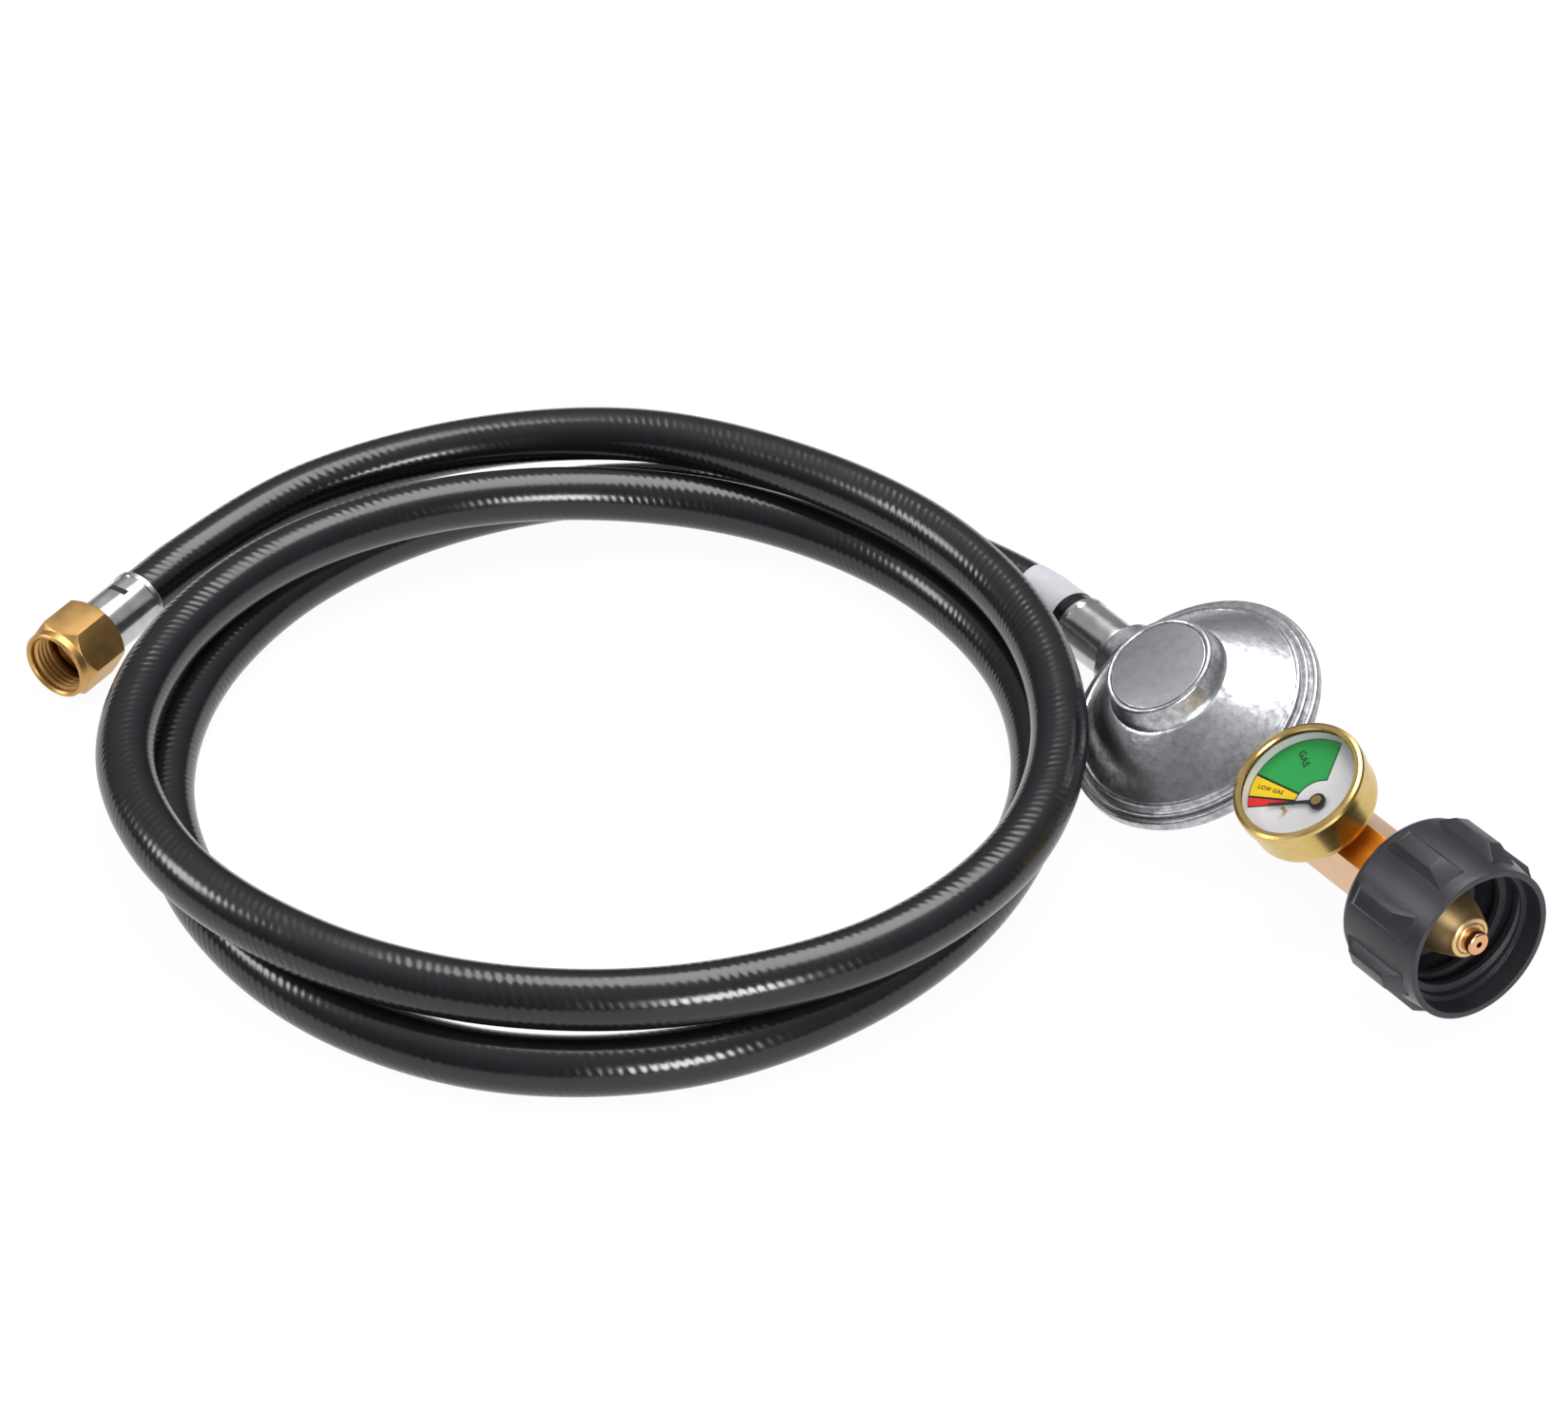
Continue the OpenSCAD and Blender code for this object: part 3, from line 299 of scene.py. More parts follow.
def piece(name, points, faces, at, material, slot, body="regulator", sharp=35):
    """A piece made of points in millimetres, set down by the matrix at."""
    mesh = bpy.data.meshes.new(name)
    mesh.from_pydata([at @ Vector(p) for p in points], [], faces)
    mesh.validate()
    work = bmesh.new()
    work.from_mesh(mesh)
    # a point on the axis of a turned piece comes once for every side
    bmesh.ops.remove_doubles(work, verts=work.verts, dist=WELD * MM)
    bmesh.ops.recalc_face_normals(work, faces=work.faces)
    work.to_mesh(mesh)
    work.free()
    mesh.shade_smooth()
    mesh.set_sharp_from_angle(angle=math.radians(sharp))
    print(name, len(faces), "faces")
    return settle(name, mesh, material, body)


# %% [markdown]
# Rubber for the hose
# -------------------
# Gas hose is black nitrile or EPDM rubber over a textile braid, cured under a tightly wound tape. The
# tape leaves fine slanted ridges, and the skin under it comes out satin: nearly black, with a long
# highlight that the ridges break into teeth. As geometry the ridges would take a million faces, and
# they are only a few hundredths of a millimetre deep, so they are a bump. They follow the hose, so
# they are drawn in the tube's own UVs: round it and along it, in metres.

# %% Hose rubber
# millimetres from ridge to ridge, how deep they are, and how many tapes lie side by side
RIDGE_PITCH, RIDGE_DEPTH, RIDGE_STARTS = 2.3, 0.027, 9
# how wide the patches are where the tape wanders, where it grips and where the skin is duller
WANDER_W, GRIP_PATCH_W, BLOOM_W = 12, 16, 7
# how far the tape wanders, in ridges, and how much of a ridge is left where it hardly grips
WANDER, LOOSE = 1.2, 0.15

hose_rubber, tree, shader, _ = new_material("wrapped_cure_rubber")
uv = add(tree, "TexCoord").outputs["UV"]
object_place = add(tree, "TexCoord").outputs["Object"]
round_it, along, _ = add(tree, "SeparateXYZ", {0: uv}).outputs
wobble = add(tree, "TexNoise", {"Vector": object_place, "Scale": feature(WANDER_W), "Detail": 2})
step = add(tree, "Math", {0: along, 1: 1 / (RIDGE_PITCH * MM)}, operation="MULTIPLY")
# the tape winds round by whole turns, and it never lies quite even
slant = add(tree, "Math", {0: round_it, 1: RIDGE_STARTS, 2: step.outputs[0]}, operation="MULTIPLY_ADD")
phase = add(tree, "Math", {0: wobble.outputs["Fac"], 1: WANDER, 2: slant.outputs[0]},
            operation="MULTIPLY_ADD")
angle = add(tree, "Math", {0: phase.outputs[0], 1: math.tau}, operation="MULTIPLY")
ridge = add(tree, "Math", {0: angle.outputs[0]}, operation="SINE")
# the tape grips harder in some places, so the ridges come and go along the hose
grip_noise = add(tree, "TexNoise", {"Vector": object_place, "Scale": feature(GRIP_PATCH_W), "Detail": 2})
hold = add(tree, "MapRange", {"Value": grip_noise.outputs["Fac"], "From Min": 0.35, "From Max": 0.65,
                              "To Min": LOOSE, "To Max": 1.0})
height = add(tree, "Math", {0: ridge.outputs[0], 1: hold.outputs[0]}, operation="MULTIPLY")
bump = add(tree, "Bump", {"Height": height.outputs[0], "Distance": RIDGE_DEPTH * MM, "Strength": 1.0})
# dust and handling leave patches a few millimetres wide that are a little duller
bloom = add(tree, "TexNoise", {"Vector": object_place, "Scale": feature(BLOOM_W), "Detail": 5})
dull = add(tree, "MapRange", {"Value": bloom.outputs["Fac"], "To Min": 0.17, "To Max": 0.27})
tone = add(tree, "Mix", {"Factor": bloom.outputs["Fac"], "A": colour("#0d0d10"), "B": colour("#151519")},
           data_type="RGBA")
cover(tree, shader, tone, dull, bump)
shader.inputs["Specular IOR Level"].default_value = 0.55
print("hose ridges:", RIDGE_PITCH, "mm apart,", RIDGE_DEPTH, "mm deep")

# %% [markdown]
# The hose
# --------
# The hose is one real length of about 1.7 m. It leaves the regulator, makes two turns and a third,
# lying on itself, and ends in the flare nut. The knots below are the ones that the CAD hose follows
# too, so the finer tube lies where the solid lies that it stands for. A bevelled curve object would
# also do, but a ring of points that is carried along without twist gives UVs in metres as well.

# %% The hose's route
HOSE_D = 14.3
ROUTE = [
    (-0.139, -0.0065, 0.0075), (-0.1775, -0.0315, 0.0072), (-0.2035, -0.069, 0.0075),
    (-0.213, -0.1135, 0.0075), (-0.2055, -0.1585, 0.0075), (-0.1815, -0.1975, 0.0072),
    (-0.1445, -0.224, 0.0072), (-0.1, -0.2335, 0.0072), (-0.055, -0.226, 0.0072),
    (-0.0175, -0.201, 0.0072), (0.005, -0.1615, 0.0072), (0.008, -0.116, 0.0072),
    (-0.006, -0.0725, 0.0072), (-0.035, -0.0375, 0.0075), (-0.077, -0.0175, 0.008),
    (-0.1235, -0.0185, 0.0095), (-0.1645, -0.0395, 0.012), (-0.1915, -0.0755, 0.016),
    (-0.204, -0.1195, 0.02), (-0.2005, -0.165, 0.0225), (-0.18, -0.2055, 0.023),
    (-0.144, -0.2335, 0.023), (-0.099, -0.2395, 0.023), (-0.0555, -0.2245, 0.0225),
    (-0.021, -0.1955, 0.022), (0.002, -0.156, 0.022), (0.01, -0.111, 0.0225),
    (-0.001, -0.068, 0.0235), (-0.0305, -0.035, 0.0245), (-0.0715, -0.017, 0.026),
    (-0.1165, -0.0165, 0.027), (-0.1605, -0.0315, 0.0265), (-0.1995, -0.0575, 0.024),
    (-0.225, -0.0955, 0.0195), (-0.235, -0.14, 0.0145),
]
CURVE_STEPS = 14

# the outlet lies a little to one side, and the hose starts inside each ferrule and runs out straight;
# the four marks are where it starts and where it may bend, along the inlet axis and the flare nut's
OUTLET_Y = 2.5
NEAR_IN, NEAR_OUT, FAR_IN, FAR_OUT = -44.6, -76.8, 17.9, 50.1
near_in = REGULATOR @ Vector((NEAR_IN, OUTLET_Y, 0))
near_out = REGULATOR @ Vector((NEAR_OUT, OUTLET_Y, 0))
far_in = FLARE @ Vector((FAR_IN, 0, 0))
far_out = FLARE @ Vector((FAR_OUT, 0, 0))
knots = [near_out] + [Vector(p) for p in ROUTE] + [far_out]
# a guide point beyond each end makes the curve start and end straight
first = near_out + inlet_axis * (knots[1] - knots[0]).length
last = far_out - back_axis * (knots[-1] - knots[-2]).length
guides = [first] + knots + [last]


def bend(a, b, c, d, t):
    """A point on the smooth curve from b to c, between a and d."""
    return 0.5 * (2 * b + (c - a) * t + (2 * a - 5 * b + 4 * c - d) * t ** 2
                  + (3 * b - a - 3 * c + d) * t ** 3)


line = [near_in, near_out + inlet_axis * HOSE_D * MM]
for i in range(len(knots) - 1):
    line += [bend(*guides[i:i + 4], k / CURVE_STEPS) for k in range(CURVE_STEPS)]
line += [far_out, far_out - back_axis * HOSE_D * MM, far_in]


# %% The hose's tube
def sweep(path, radius, sides):
    """Points, faces and UVs of a round tube along a path, in metres."""
    points, lengths = [], [0.0]
    side = (path[1] - path[0]).cross(up_axis).normalized()
    for i, here in enumerate(path):
        before, after = path[max(i - 1, 0)], path[min(i + 1, len(path) - 1)]
        ahead = (after - before).normalized()
        side = (side - ahead * side.dot(ahead)).normalized()
        top = side.cross(ahead)
        for k in range(sides):
            turn = math.tau * k / sides
            points.append(here + radius * (side * math.cos(turn) + top * math.sin(turn)))
        if i:
            lengths.append(lengths[-1] + (here - path[i - 1]).length)
    faces, corners = [], []
    for i in range(len(path) - 1):
        for k in range(sides):
            n, m = i * sides, (i + 1) * sides
            j = (k + 1) % sides
            faces.append((n + k, n + j, m + j, m + k))
            around = ((0, 0), (1, 0), (1, 1), (0, 1))
            corners.append([((k + a) / sides, lengths[i + b]) for a, b in around])
    for n in (0, (len(path) - 1) * sides):
        faces.append(tuple(range(n, n + sides)))
        corners.append([(0, 0)] * sides)
    return points, faces, corners


def tube_piece(name, path, radius, sides, material, body="regulator"):
    """A round tube that rides on a body, with UVs round it and along it in metres."""
    points, faces, corners = sweep(path, radius, sides)
    mesh = bpy.data.meshes.new(name)
    mesh.from_pydata(points, [], faces)
    layer = mesh.uv_layers.new(name="round_and_along")
    for face, found in zip(mesh.polygons, corners):
        for loop, value in zip(face.loop_indices, found):
            layer.data[loop].uv = value
    mesh.shade_smooth()
    # only the rims of its two ends stay sharp
    mesh.set_sharp_from_angle(angle=math.radians(60))
    print(name, len(faces), "faces")
    return settle(name, mesh, material, body)


# %% [markdown]
# The paper sleeve
# ----------------
# A band of white coated paper is glued round the hose just behind the ferrule, and is left blank. It
# could be a painted stretch of the hose, but its edge stands up a little and casts a thin line. So
# it is a thin tube with an inside and an outside, carried along the first stretch of the hose.
# Coated paper is off white with a soft satin face, and the glue lets it lie a little uneven.

# %% Paper sleeve
# where it starts and ends behind the ferrule, and its radii, in millimetres
SLEEVE_FROM, SLEEVE_TO = 3.4, 21.0
SLEEVE_IN, SLEEVE_OUT = 7.17, 7.36
GLUE_WAVES = 0.12

sleeve_paper, tree, shader, where = new_material("coated_paper")
cloud = add(tree, "TexNoise", {"Vector": where, "Scale": feature(3), "Detail": 4})
tone = add(tree, "Mix", {"Factor": cloud.outputs["Fac"], "A": colour("#bcbcc1"), "B": colour("#cdcdd1")},
           data_type="RGBA")
bump = add(tree, "Bump", {"Height": cloud.outputs["Fac"], "Distance": GLUE_WAVES * MM})
tree.links.new(tone.outputs["Result"], shader.inputs["Base Color"])
tree.links.new(bump.outputs[0], shader.inputs["Normal"])
shader.inputs["Roughness"].default_value = 0.42


def stretch(start, end):
    """The points of the hose's line from start to end, in millimetres behind the ferrule."""
    walked, found, last = 0.0, [], line[1]
    for here in line[2:]:
        length = (here - last).length / MM
        for mark in (start, end):
            if walked < mark <= walked + length:
                found.append(last.lerp(here, (mark - walked) / length))
        if start < walked + length < end:
            found.append(here)
        walked, last = walked + length, here
    return found


def band(name, path, inner, outer, material, slot, sides=48):
    """A thin tube with an inside and an outside along a path."""
    rings = [(p, outer) for p in path] + [(p, inner) for p in path[::-1]]
    last = len(path) - 1
    ways = [(path[min(i + 1, last)] - path[max(i - 1, 0)]).normalized() for i in range(len(path))]
    ways += ways[::-1]
    points, faces = [], []
    for (here, radius), ahead in zip(rings, ways):
        side = ahead.cross(up_axis).normalized()
        top = side.cross(ahead)
        points += [here + radius * MM * (side * math.cos(t) + top * math.sin(t))
                   for t in (math.tau * k / sides for k in range(sides))]
    total = len(rings)
    for i in range(total):
        n, m = i * sides, (i + 1) % total * sides
        faces += [(n + k, n + (k + 1) % sides, m + (k + 1) % sides, m + k) for k in range(sides)]
    return piece(name, points, faces, Matrix(), material, slot)


# %% The hose, and what is on it
HOSE_SIDES = 36
sleeve_line = stretch(SLEEVE_FROM, SLEEVE_TO)
sleeve = band("paper_sleeve", sleeve_line, SLEEVE_IN, SLEEVE_OUT, sleeve_paper, "poppet_plastic")
hose = tube_piece("rubber_hose", line, HOSE_D / 2 * MM, HOSE_SIDES, hose_rubber)
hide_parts("hose")

# %% [markdown]
# Metals
# ------
# Each metal is fully metallic with the default IOR, and what tells them apart is colour and how the
# surface was made. A tumbled zinc casting is grey and mottled with a soft grain. Turned brass has
# fine rings about its axis. Tinned steel is bright with drawn lines. A painted texture would tie each
# metal to one shape, so the patterns are noises instead. They are worked out from real sizes in
# millimetres and use the coordinates that ride with the part. Tool marks finer than a third of a
# millimetre would not show, so they are drawn that coarse.

# %% A cast or tumbled metal
def cast_metal(name, dark, light, rough, patch, grain, depth):
    """A cast metal: two tones in patches, and a fine bumpy grain. Sizes in millimetres."""
    material, tree, shader, where = new_material(name)
    cloud = add(tree, "TexNoise", {"Vector": where, "Scale": feature(patch), "Detail": 7, "Roughness": 0.62})
    spread = add(tree, "MapRange", {"Value": cloud.outputs["Fac"], "From Min": 0.32, "From Max": 0.68})
    tone = add(tree, "Mix", {"Factor": spread.outputs[0], "A": colour(dark), "B": colour(light)},
               data_type="RGBA")
    # the tumbled high spots are paler and a little smoother
    dull = add(tree, "MapRange", {"Value": spread.outputs[0], "To Min": rough + 0.08, "To Max": rough - 0.05})
    fine = add(tree, "TexNoise", {"Vector": where, "Scale": feature(grain), "Detail": 3})
    bump = add(tree, "Bump", {"Height": fine.outputs["Fac"], "Distance": depth * MM})
    # a casting also shrinks a little unevenly, in waves wider than the patches and deeper than the grain
    wave = add(tree, "TexNoise", {"Vector": where, "Scale": feature(patch * 1.7), "Detail": 2})
    bump = add(tree, "Bump", {"Height": wave.outputs["Fac"], "Distance": depth * 6 * MM,
                              "Normal": bump.outputs[0]})
    cover(tree, shader, tone, dull, bump)
    shader.inputs["Metallic"].default_value = 1
    print("cast metal:", name)
    return material


# darkest and palest tone, roughness, then how wide the patches are, how wide the grain, and its depth
die_cast_zinc = cast_metal("tumbled_die_cast_zinc", "#8c8e91", "#cdced0", 0.33, 2.0, 0.5, 0.02)
pressed_cap = cast_metal("rolled_in_zinc_disc", "#9a9c9e", "#c8c9cb", 0.32, 2.6, 0.6, 0.012)


# %% A turned or drawn metal
def turned_metal(name, dark, light, rough, axis, pitch, depth):
    """A metal with tool marks across an axis, pitch apart and depth deep, in millimetres."""
    material, tree, shader, where = new_material(name)
    along = add(tree, "VectorMath", {0: where, 1: axis}, operation="DOT_PRODUCT").outputs["Value"]
    marks = add(tree, "TexNoise", {"W": along, "Scale": feature(pitch), "Detail": 3}, noise_dimensions="1D")
    cloud = add(tree, "TexNoise", {"Vector": where, "Scale": feature(4), "Detail": 5})
    tone = add(tree, "Mix", {"Factor": cloud.outputs["Fac"], "A": colour(dark), "B": colour(light)},
               data_type="RGBA")
    dull = add(tree, "MapRange", {"Value": cloud.outputs["Fac"], "To Min": rough - 0.05,
                                  "To Max": rough + 0.07})
    bump = add(tree, "Bump", {"Height": marks.outputs["Fac"], "Distance": depth * MM, "Strength": 0.7})
    cover(tree, shader, tone, dull, bump)
    shader.inputs["Metallic"].default_value = 1
    print("turned metal:", name)
    return material


# darkest and palest tone, roughness, the axis, then how far apart the tool marks are and how deep
inlet_brass = turned_metal("turned_brass_inlet", "#dcb478", "#f2d5a0", 0.42, inlet_axis, 0.35, 0.004)
probe_brass = turned_metal("turned_brass_probe", "#d79a6c", "#edb88c", 0.22, inlet_axis, 0.3, 0.003)
gauge_brass = turned_metal("spun_brass_gauge", "#c4a358", "#dfc688", 0.24, bonnet_axis, 0.4, 0.003)
flare_brass = turned_metal("satin_brass_flare_nut", "#bb9054", "#d2a96c", 0.42, back_axis, 0.3, 0.006)
drawn_brass = turned_metal("extruded_brass_block", "#dfb896", "#eed0b4", 0.45, across_axis, 0.5, 0.004)
tinned_steel = turned_metal("bright_tinned_steel", "#a9a9a6", "#d9d9d6", 0.3, inlet_axis, 0.6, 0.006)
tinned_far = turned_metal("bright_tinned_steel_far", "#a9a9a6", "#d9d9d6", 0.3, back_axis, 0.6, 0.006)
spring_steel = turned_metal("spring_steel", "#7d8085", "#a4a7ac", 0.3, bonnet_axis, 0.3, 0.002)
machined_zinc = turned_metal("machined_zinc", "#a5a8ad", "#c4c7cb", 0.3, bonnet_axis, 0.4, 0.004)

# %% [markdown]
# Two brasses that need one thing more
# ------------------------------------
# A lathe leaves rings round the nose, and they throw the light out along its axis, so it shows bright
# and dark sectors. Rings as fine as that can't be drawn one by one, but an anisotropic shader blurs
# its highlight across them. It needs to know which way the rings go: the tangent is taken round X,
# which is close to the inlet axis, and a quarter turn more lays the blur along the axis.
# The block's upper face takes a painted reflection of the gauge's warm brass over it: a second, orange
# colour is mixed in there by how far a face looks up the bonnet's axis, which rides with the part.

# %% Turned nose, and the block's painted top reflection
ANISOTROPY, QUARTER_TURN = 0.8, 0.25
# the orange of the painted reflection on the block's upper face, and where it starts and is full, as the
# cosine of the angle to the bonnet's axis
TOP_REFLECTION_ORANGE = "#ffa836"
TOP_REFLECTION_FROM, TOP_REFLECTION_FULL = 0.6, 0.9

tree = inlet_brass.node_tree
shader = tree.nodes["Principled BSDF"]
rings = add(tree, "Tangent", direction_type="RADIAL", axis="X")
tree.links.new(rings.outputs[0], shader.inputs["Tangent"])
shader.inputs["Anisotropic"].default_value = ANISOTROPY
shader.inputs["Anisotropic Rotation"].default_value = QUARTER_TURN

# painted reflection: the block's upper face is mixed towards orange where it looks up the bonnet's axis, for
# the gauge's warm brass above it
tree = drawn_brass.node_tree
pale = tree.nodes["Mix"].outputs["Result"]
normal = add(tree, "NewGeometry").outputs["Normal"]
facing = add(tree, "VectorMath", {0: normal, 1: bonnet_axis}, operation="DOT_PRODUCT")
reflecting_top = add(tree, "MapRange", {"Value": facing.outputs["Value"], "From Min": TOP_REFLECTION_FROM,
                               "From Max": TOP_REFLECTION_FULL})
painted_top_reflection = add(tree, "Mix", {"Factor": reflecting_top.outputs[0], "A": pale, "B": colour(TOP_REFLECTION_ORANGE)}, data_type="RGBA")
tree.links.new(painted_top_reflection.outputs["Result"], tree.nodes["Principled BSDF"].inputs["Base Color"])
print("anisotropy of the nose:", ANISOTROPY)

# %% [markdown]
# Plastics, rubber and paint
# --------------------------
# The hand nut is moulded in glass filled nylon with a spark-eroded skin: dark charcoal and satin, with
# a grain of about a third of a millimetre. The poppet is a smooth moulded acetal. The diaphragm is a
# nitrile sheet, so it is flat black. The dial and the pointer are enamelled, and the words and fields
# on the dial are printed. All of them are one even skin with a fine grain, so one function does for
# all: what changes is the colour, the roughness and how deep the grain is.

# %% Moulded and painted finishes
def moulded(name, dark, light, rough, grain, depth):
    """A moulded plastic or paint skin with an even fine grain, in millimetres."""
    material, tree, shader, where = new_material(name)
    fine = add(tree, "TexNoise", {"Vector": where, "Scale": feature(grain), "Detail": 4, "Roughness": 0.6})
    cloud = add(tree, "TexNoise", {"Vector": where, "Scale": feature(7), "Detail": 4})
    tone = add(tree, "Mix", {"Factor": cloud.outputs["Fac"], "A": colour(dark), "B": colour(light)},
               data_type="RGBA")
    dull = add(tree, "MapRange", {"Value": fine.outputs["Fac"], "To Min": rough - 0.06,
                                  "To Max": rough + 0.06})
    bump = add(tree, "Bump", {"Height": fine.outputs["Fac"], "Distance": depth * MM})
    cover(tree, shader, tone, dull, bump)
    print("moulded or painted:", name)
    return material


# darkest and palest tone, roughness, then how wide the grain is and how deep
hose_rubber_flat = moulded("rubber_in_the_window", "#121214", "#1a1a1c", 0.5, 0.4, 0.01)
grained_nylon = moulded("grained_glass_filled_nylon", "#1e1e23", "#2c2c33", 0.32, 0.3, 0.06)
# a spark-eroded skin scatters part of its highlight, so it shines a little less than bare nylon does
grained_nylon.node_tree.nodes["Principled BSDF"].inputs["Specular IOR Level"].default_value = 0.42
# the seat ring's pale tone is partly a painted highlight: it stands for the lit edge of the glass
seat_plastic_and_edge_glint = moulded("clear_white_seat_and_glass_edge_glint", "#c4c8c6", "#d6d9d7", 0.3, 0.6, 0.004)
acetal = moulded("moulded_acetal", "#c9c4b8", "#d8d3c8", 0.4, 0.6, 0.005)
nitrile = moulded("nitrile_sheet", "#1c1c1e", "#28282b", 0.62, 0.4, 0.02)
white_enamel = moulded("white_dial_enamel", "#e4e2e2", "#eceaea", 0.42, 0.5, 0.002)
black_lacquer = moulded("black_pointer_lacquer", "#131314", "#1d1d1f", 0.32, 0.4, 0.003)
fusible_alloy = moulded("fusible_bushing_alloy", "#77797c", "#8b8d90", 0.4, 0.4, 0.01)

# %% [markdown]
# Glass
# -----
# The gauge's window is a flat clear pane. Real refraction would need many light paths to reach the
# dial and would move nothing that can be seen, because the pane is flat. So the pane is nearly see
# through and keeps a sharp reflection, with faint smears of the fingers that pressed it in.

# %% Glass
crystal, tree, shader, where = new_material("flat_clear_glass")
shader.inputs["Base Color"].default_value = colour("#1a1c1c")
shader.inputs["Roughness"].default_value = 0.03
shader.inputs["Specular IOR Level"].default_value = 1.0
smear = add(tree, "TexNoise", {"Vector": where, "Scale": feature(6), "Detail": 2})
clear = add(tree, "MapRange", {"Value": smear.outputs["Fac"], "To Min": 0.09, "To Max": 0.13})
tree.links.new(clear.outputs[0], shader.inputs["Alpha"])
print("glass:", crystal.name)

# %% [markdown]
# Each solid's finish
# -------------------
# Most solids of the CAD model are seen as they are, and only need their finish. A material for each
# of 37 names would be long, and a list of names for each material is easy to check against the real
# part. A few of the solids get a finer piece further down, which brings the same finish. The hose is
# not in the list, because its finer tube already has the rubber.

# %% Give every CAD node its material
FINISH = {
    die_cast_zinc: ["lower_casting", "bonnet"],
    pressed_cap: ["tower_cap"],
    machined_zinc: ["adjusting_screw", "diaphragm_plate", "diaphragm_stem", "vent_screen"],
    spring_steel: ["main_spring", "lever", "lever_pin", "poppet_spring"],
    nitrile: ["diaphragm", "valve_seat", "nipple_washer"],
    inlet_brass: ["inlet_nipple", "probe_tip", "orifice", "valve_holder", "poppet_stop"],
    drawn_brass: ["gauge_block"],
    gauge_brass: ["gauge_case", "gauge_bezel", "dial_stop", "arbor_bearing", "pointer_arbor",
                  "bourdon_spiral"],
    flare_brass: ["flare_nut", "flare_tail", "outlet_tail"],
    tinned_steel: ["near_ferrule"],
    tinned_far: ["far_ferrule"],
    grained_nylon: ["hand_nut"],
    acetal: ["flow_poppet"],
    fusible_alloy: ["heat_bushing"],
    white_enamel: ["gauge_dial"],
    black_lacquer: ["pointer"],
    crystal: ["gauge_glass"],
}
for material, names in FINISH.items():
    for name in names:
        slots = nodes[name].data.materials
        slots.clear()
        slots.append(material)
print("nodes finished:", sum(len(names) for names in FINISH.values()), "of", len(nodes))

# %% [markdown]
# Edges that catch the light
# --------------------------
# A CAD solid has edges of no width, but a moulded or milled part always has small rounds, and they
# draw the bright lines that show its shape. A bevel node could fake them in the shader, but then the
# mesh has none, so a bevel of the real radius goes round every edge that is sharper than the facets
# of a curve. Two CAD nodes are copied for it, with their flat facets joined.

# %% Rounded edges
# an edge is rounded from this many degrees on, and is left sharp from the second on
ROUND_FROM, SHARP_FROM = 24, 30
# points closer than this, in millimetres, and facets flatter than this, in degrees, are joined
NODE_WELD, FLAT_WITHIN = 0.002, 1.5


def round_edges(made, radius, segments=3):
    """Rounds the sharp edges of an object. The radius is in millimetres."""
    bevel = made.modifiers.new("round", "BEVEL")
    bevel.width, bevel.segments = radius * MM, segments
    bevel.limit_method, bevel.angle_limit = "ANGLE", math.radians(ROUND_FROM)
    bpy.context.view_layer.update()
    rounded = made.evaluated_get(bpy.context.evaluated_depsgraph_get())
    shaped = bpy.data.meshes.new_from_object(rounded)
    made.modifiers.clear()
    made.data = shaped
    shaped.shade_smooth()
    shaped.set_sharp_from_angle(angle=math.radians(SHARP_FROM))
    print(made.name, "rounded by", radius, "mm:", len(shaped.polygons), "faces")


def copied(node, name, material, body):
    """A copy of a CAD node, with its flat facets joined, which stands for it."""
    work = bmesh.new()
    work.from_mesh(nodes[node].data)
    bmesh.ops.remove_doubles(work, verts=work.verts, dist=NODE_WELD * MM)
    bmesh.ops.dissolve_limit(work, angle_limit=math.radians(FLAT_WITHIN), verts=work.verts, edges=work.edges)
    mesh = bpy.data.meshes.new(name)
    work.to_mesh(mesh)
    work.free()
    mesh.shade_smooth()
    mesh.materials.clear()
    made = settle(name, mesh, material, body)
    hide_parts(node)
    return made


flare_nut = copied("flare_nut", "flare_nut_milled", flare_brass, "appliance_nut")
round_edges(flare_nut, 0.18, segments=2)
gauge_block = copied("gauge_block", "gauge_block_milled", drawn_brass, "regulator")
round_edges(gauge_block, 0.2, segments=2)

# %% [markdown]
# Two copied springs
# --------------------
# Two coil springs are pressed when their joint moves: the main spring over the diaphragm's plate, and
# the small one behind the excess-flow poppet. Winding each coil anew at every pose would be exact, but
# a spring that is pressed by a fifth or a quarter of its length looks the same when it is simply
# squashed. Here each spring is only copied from its CAD node with a mesh of its own, and is not
# squashed.

# %% Springs
# node, joint, its travel, the spring's axis, and its fixed end and its free end, in millimetres
SPRINGS = [
    ("main_spring", "diaphragm_lift", 2.4, bonnet_axis, (0, 0, 25.8), (0, 0, 13.2)),
    ("poppet_spring", "poppet_slide", 2.5, inlet_axis, (71.0, 0, 0), (80.3, 0, 0)),
]
for node, moved_by, travel, axis, fixed, free in SPRINGS:
    spring = copied(node, node + "_wound", spring_steel, "regulator")
    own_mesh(spring)

# %% [markdown]
# Turned pieces
# -------------
# A lathe turns a profile round an axis, and so does the next helper: each point of the profile is a
# place along x and a radius, and the last point joins the first. A screw modifier could turn it too,
# but a crimping tool then presses flats on some pieces, and that is easy while the points are worked
# out: on a flat, the radius is cut to the flat's distance over the cosine of the angle.

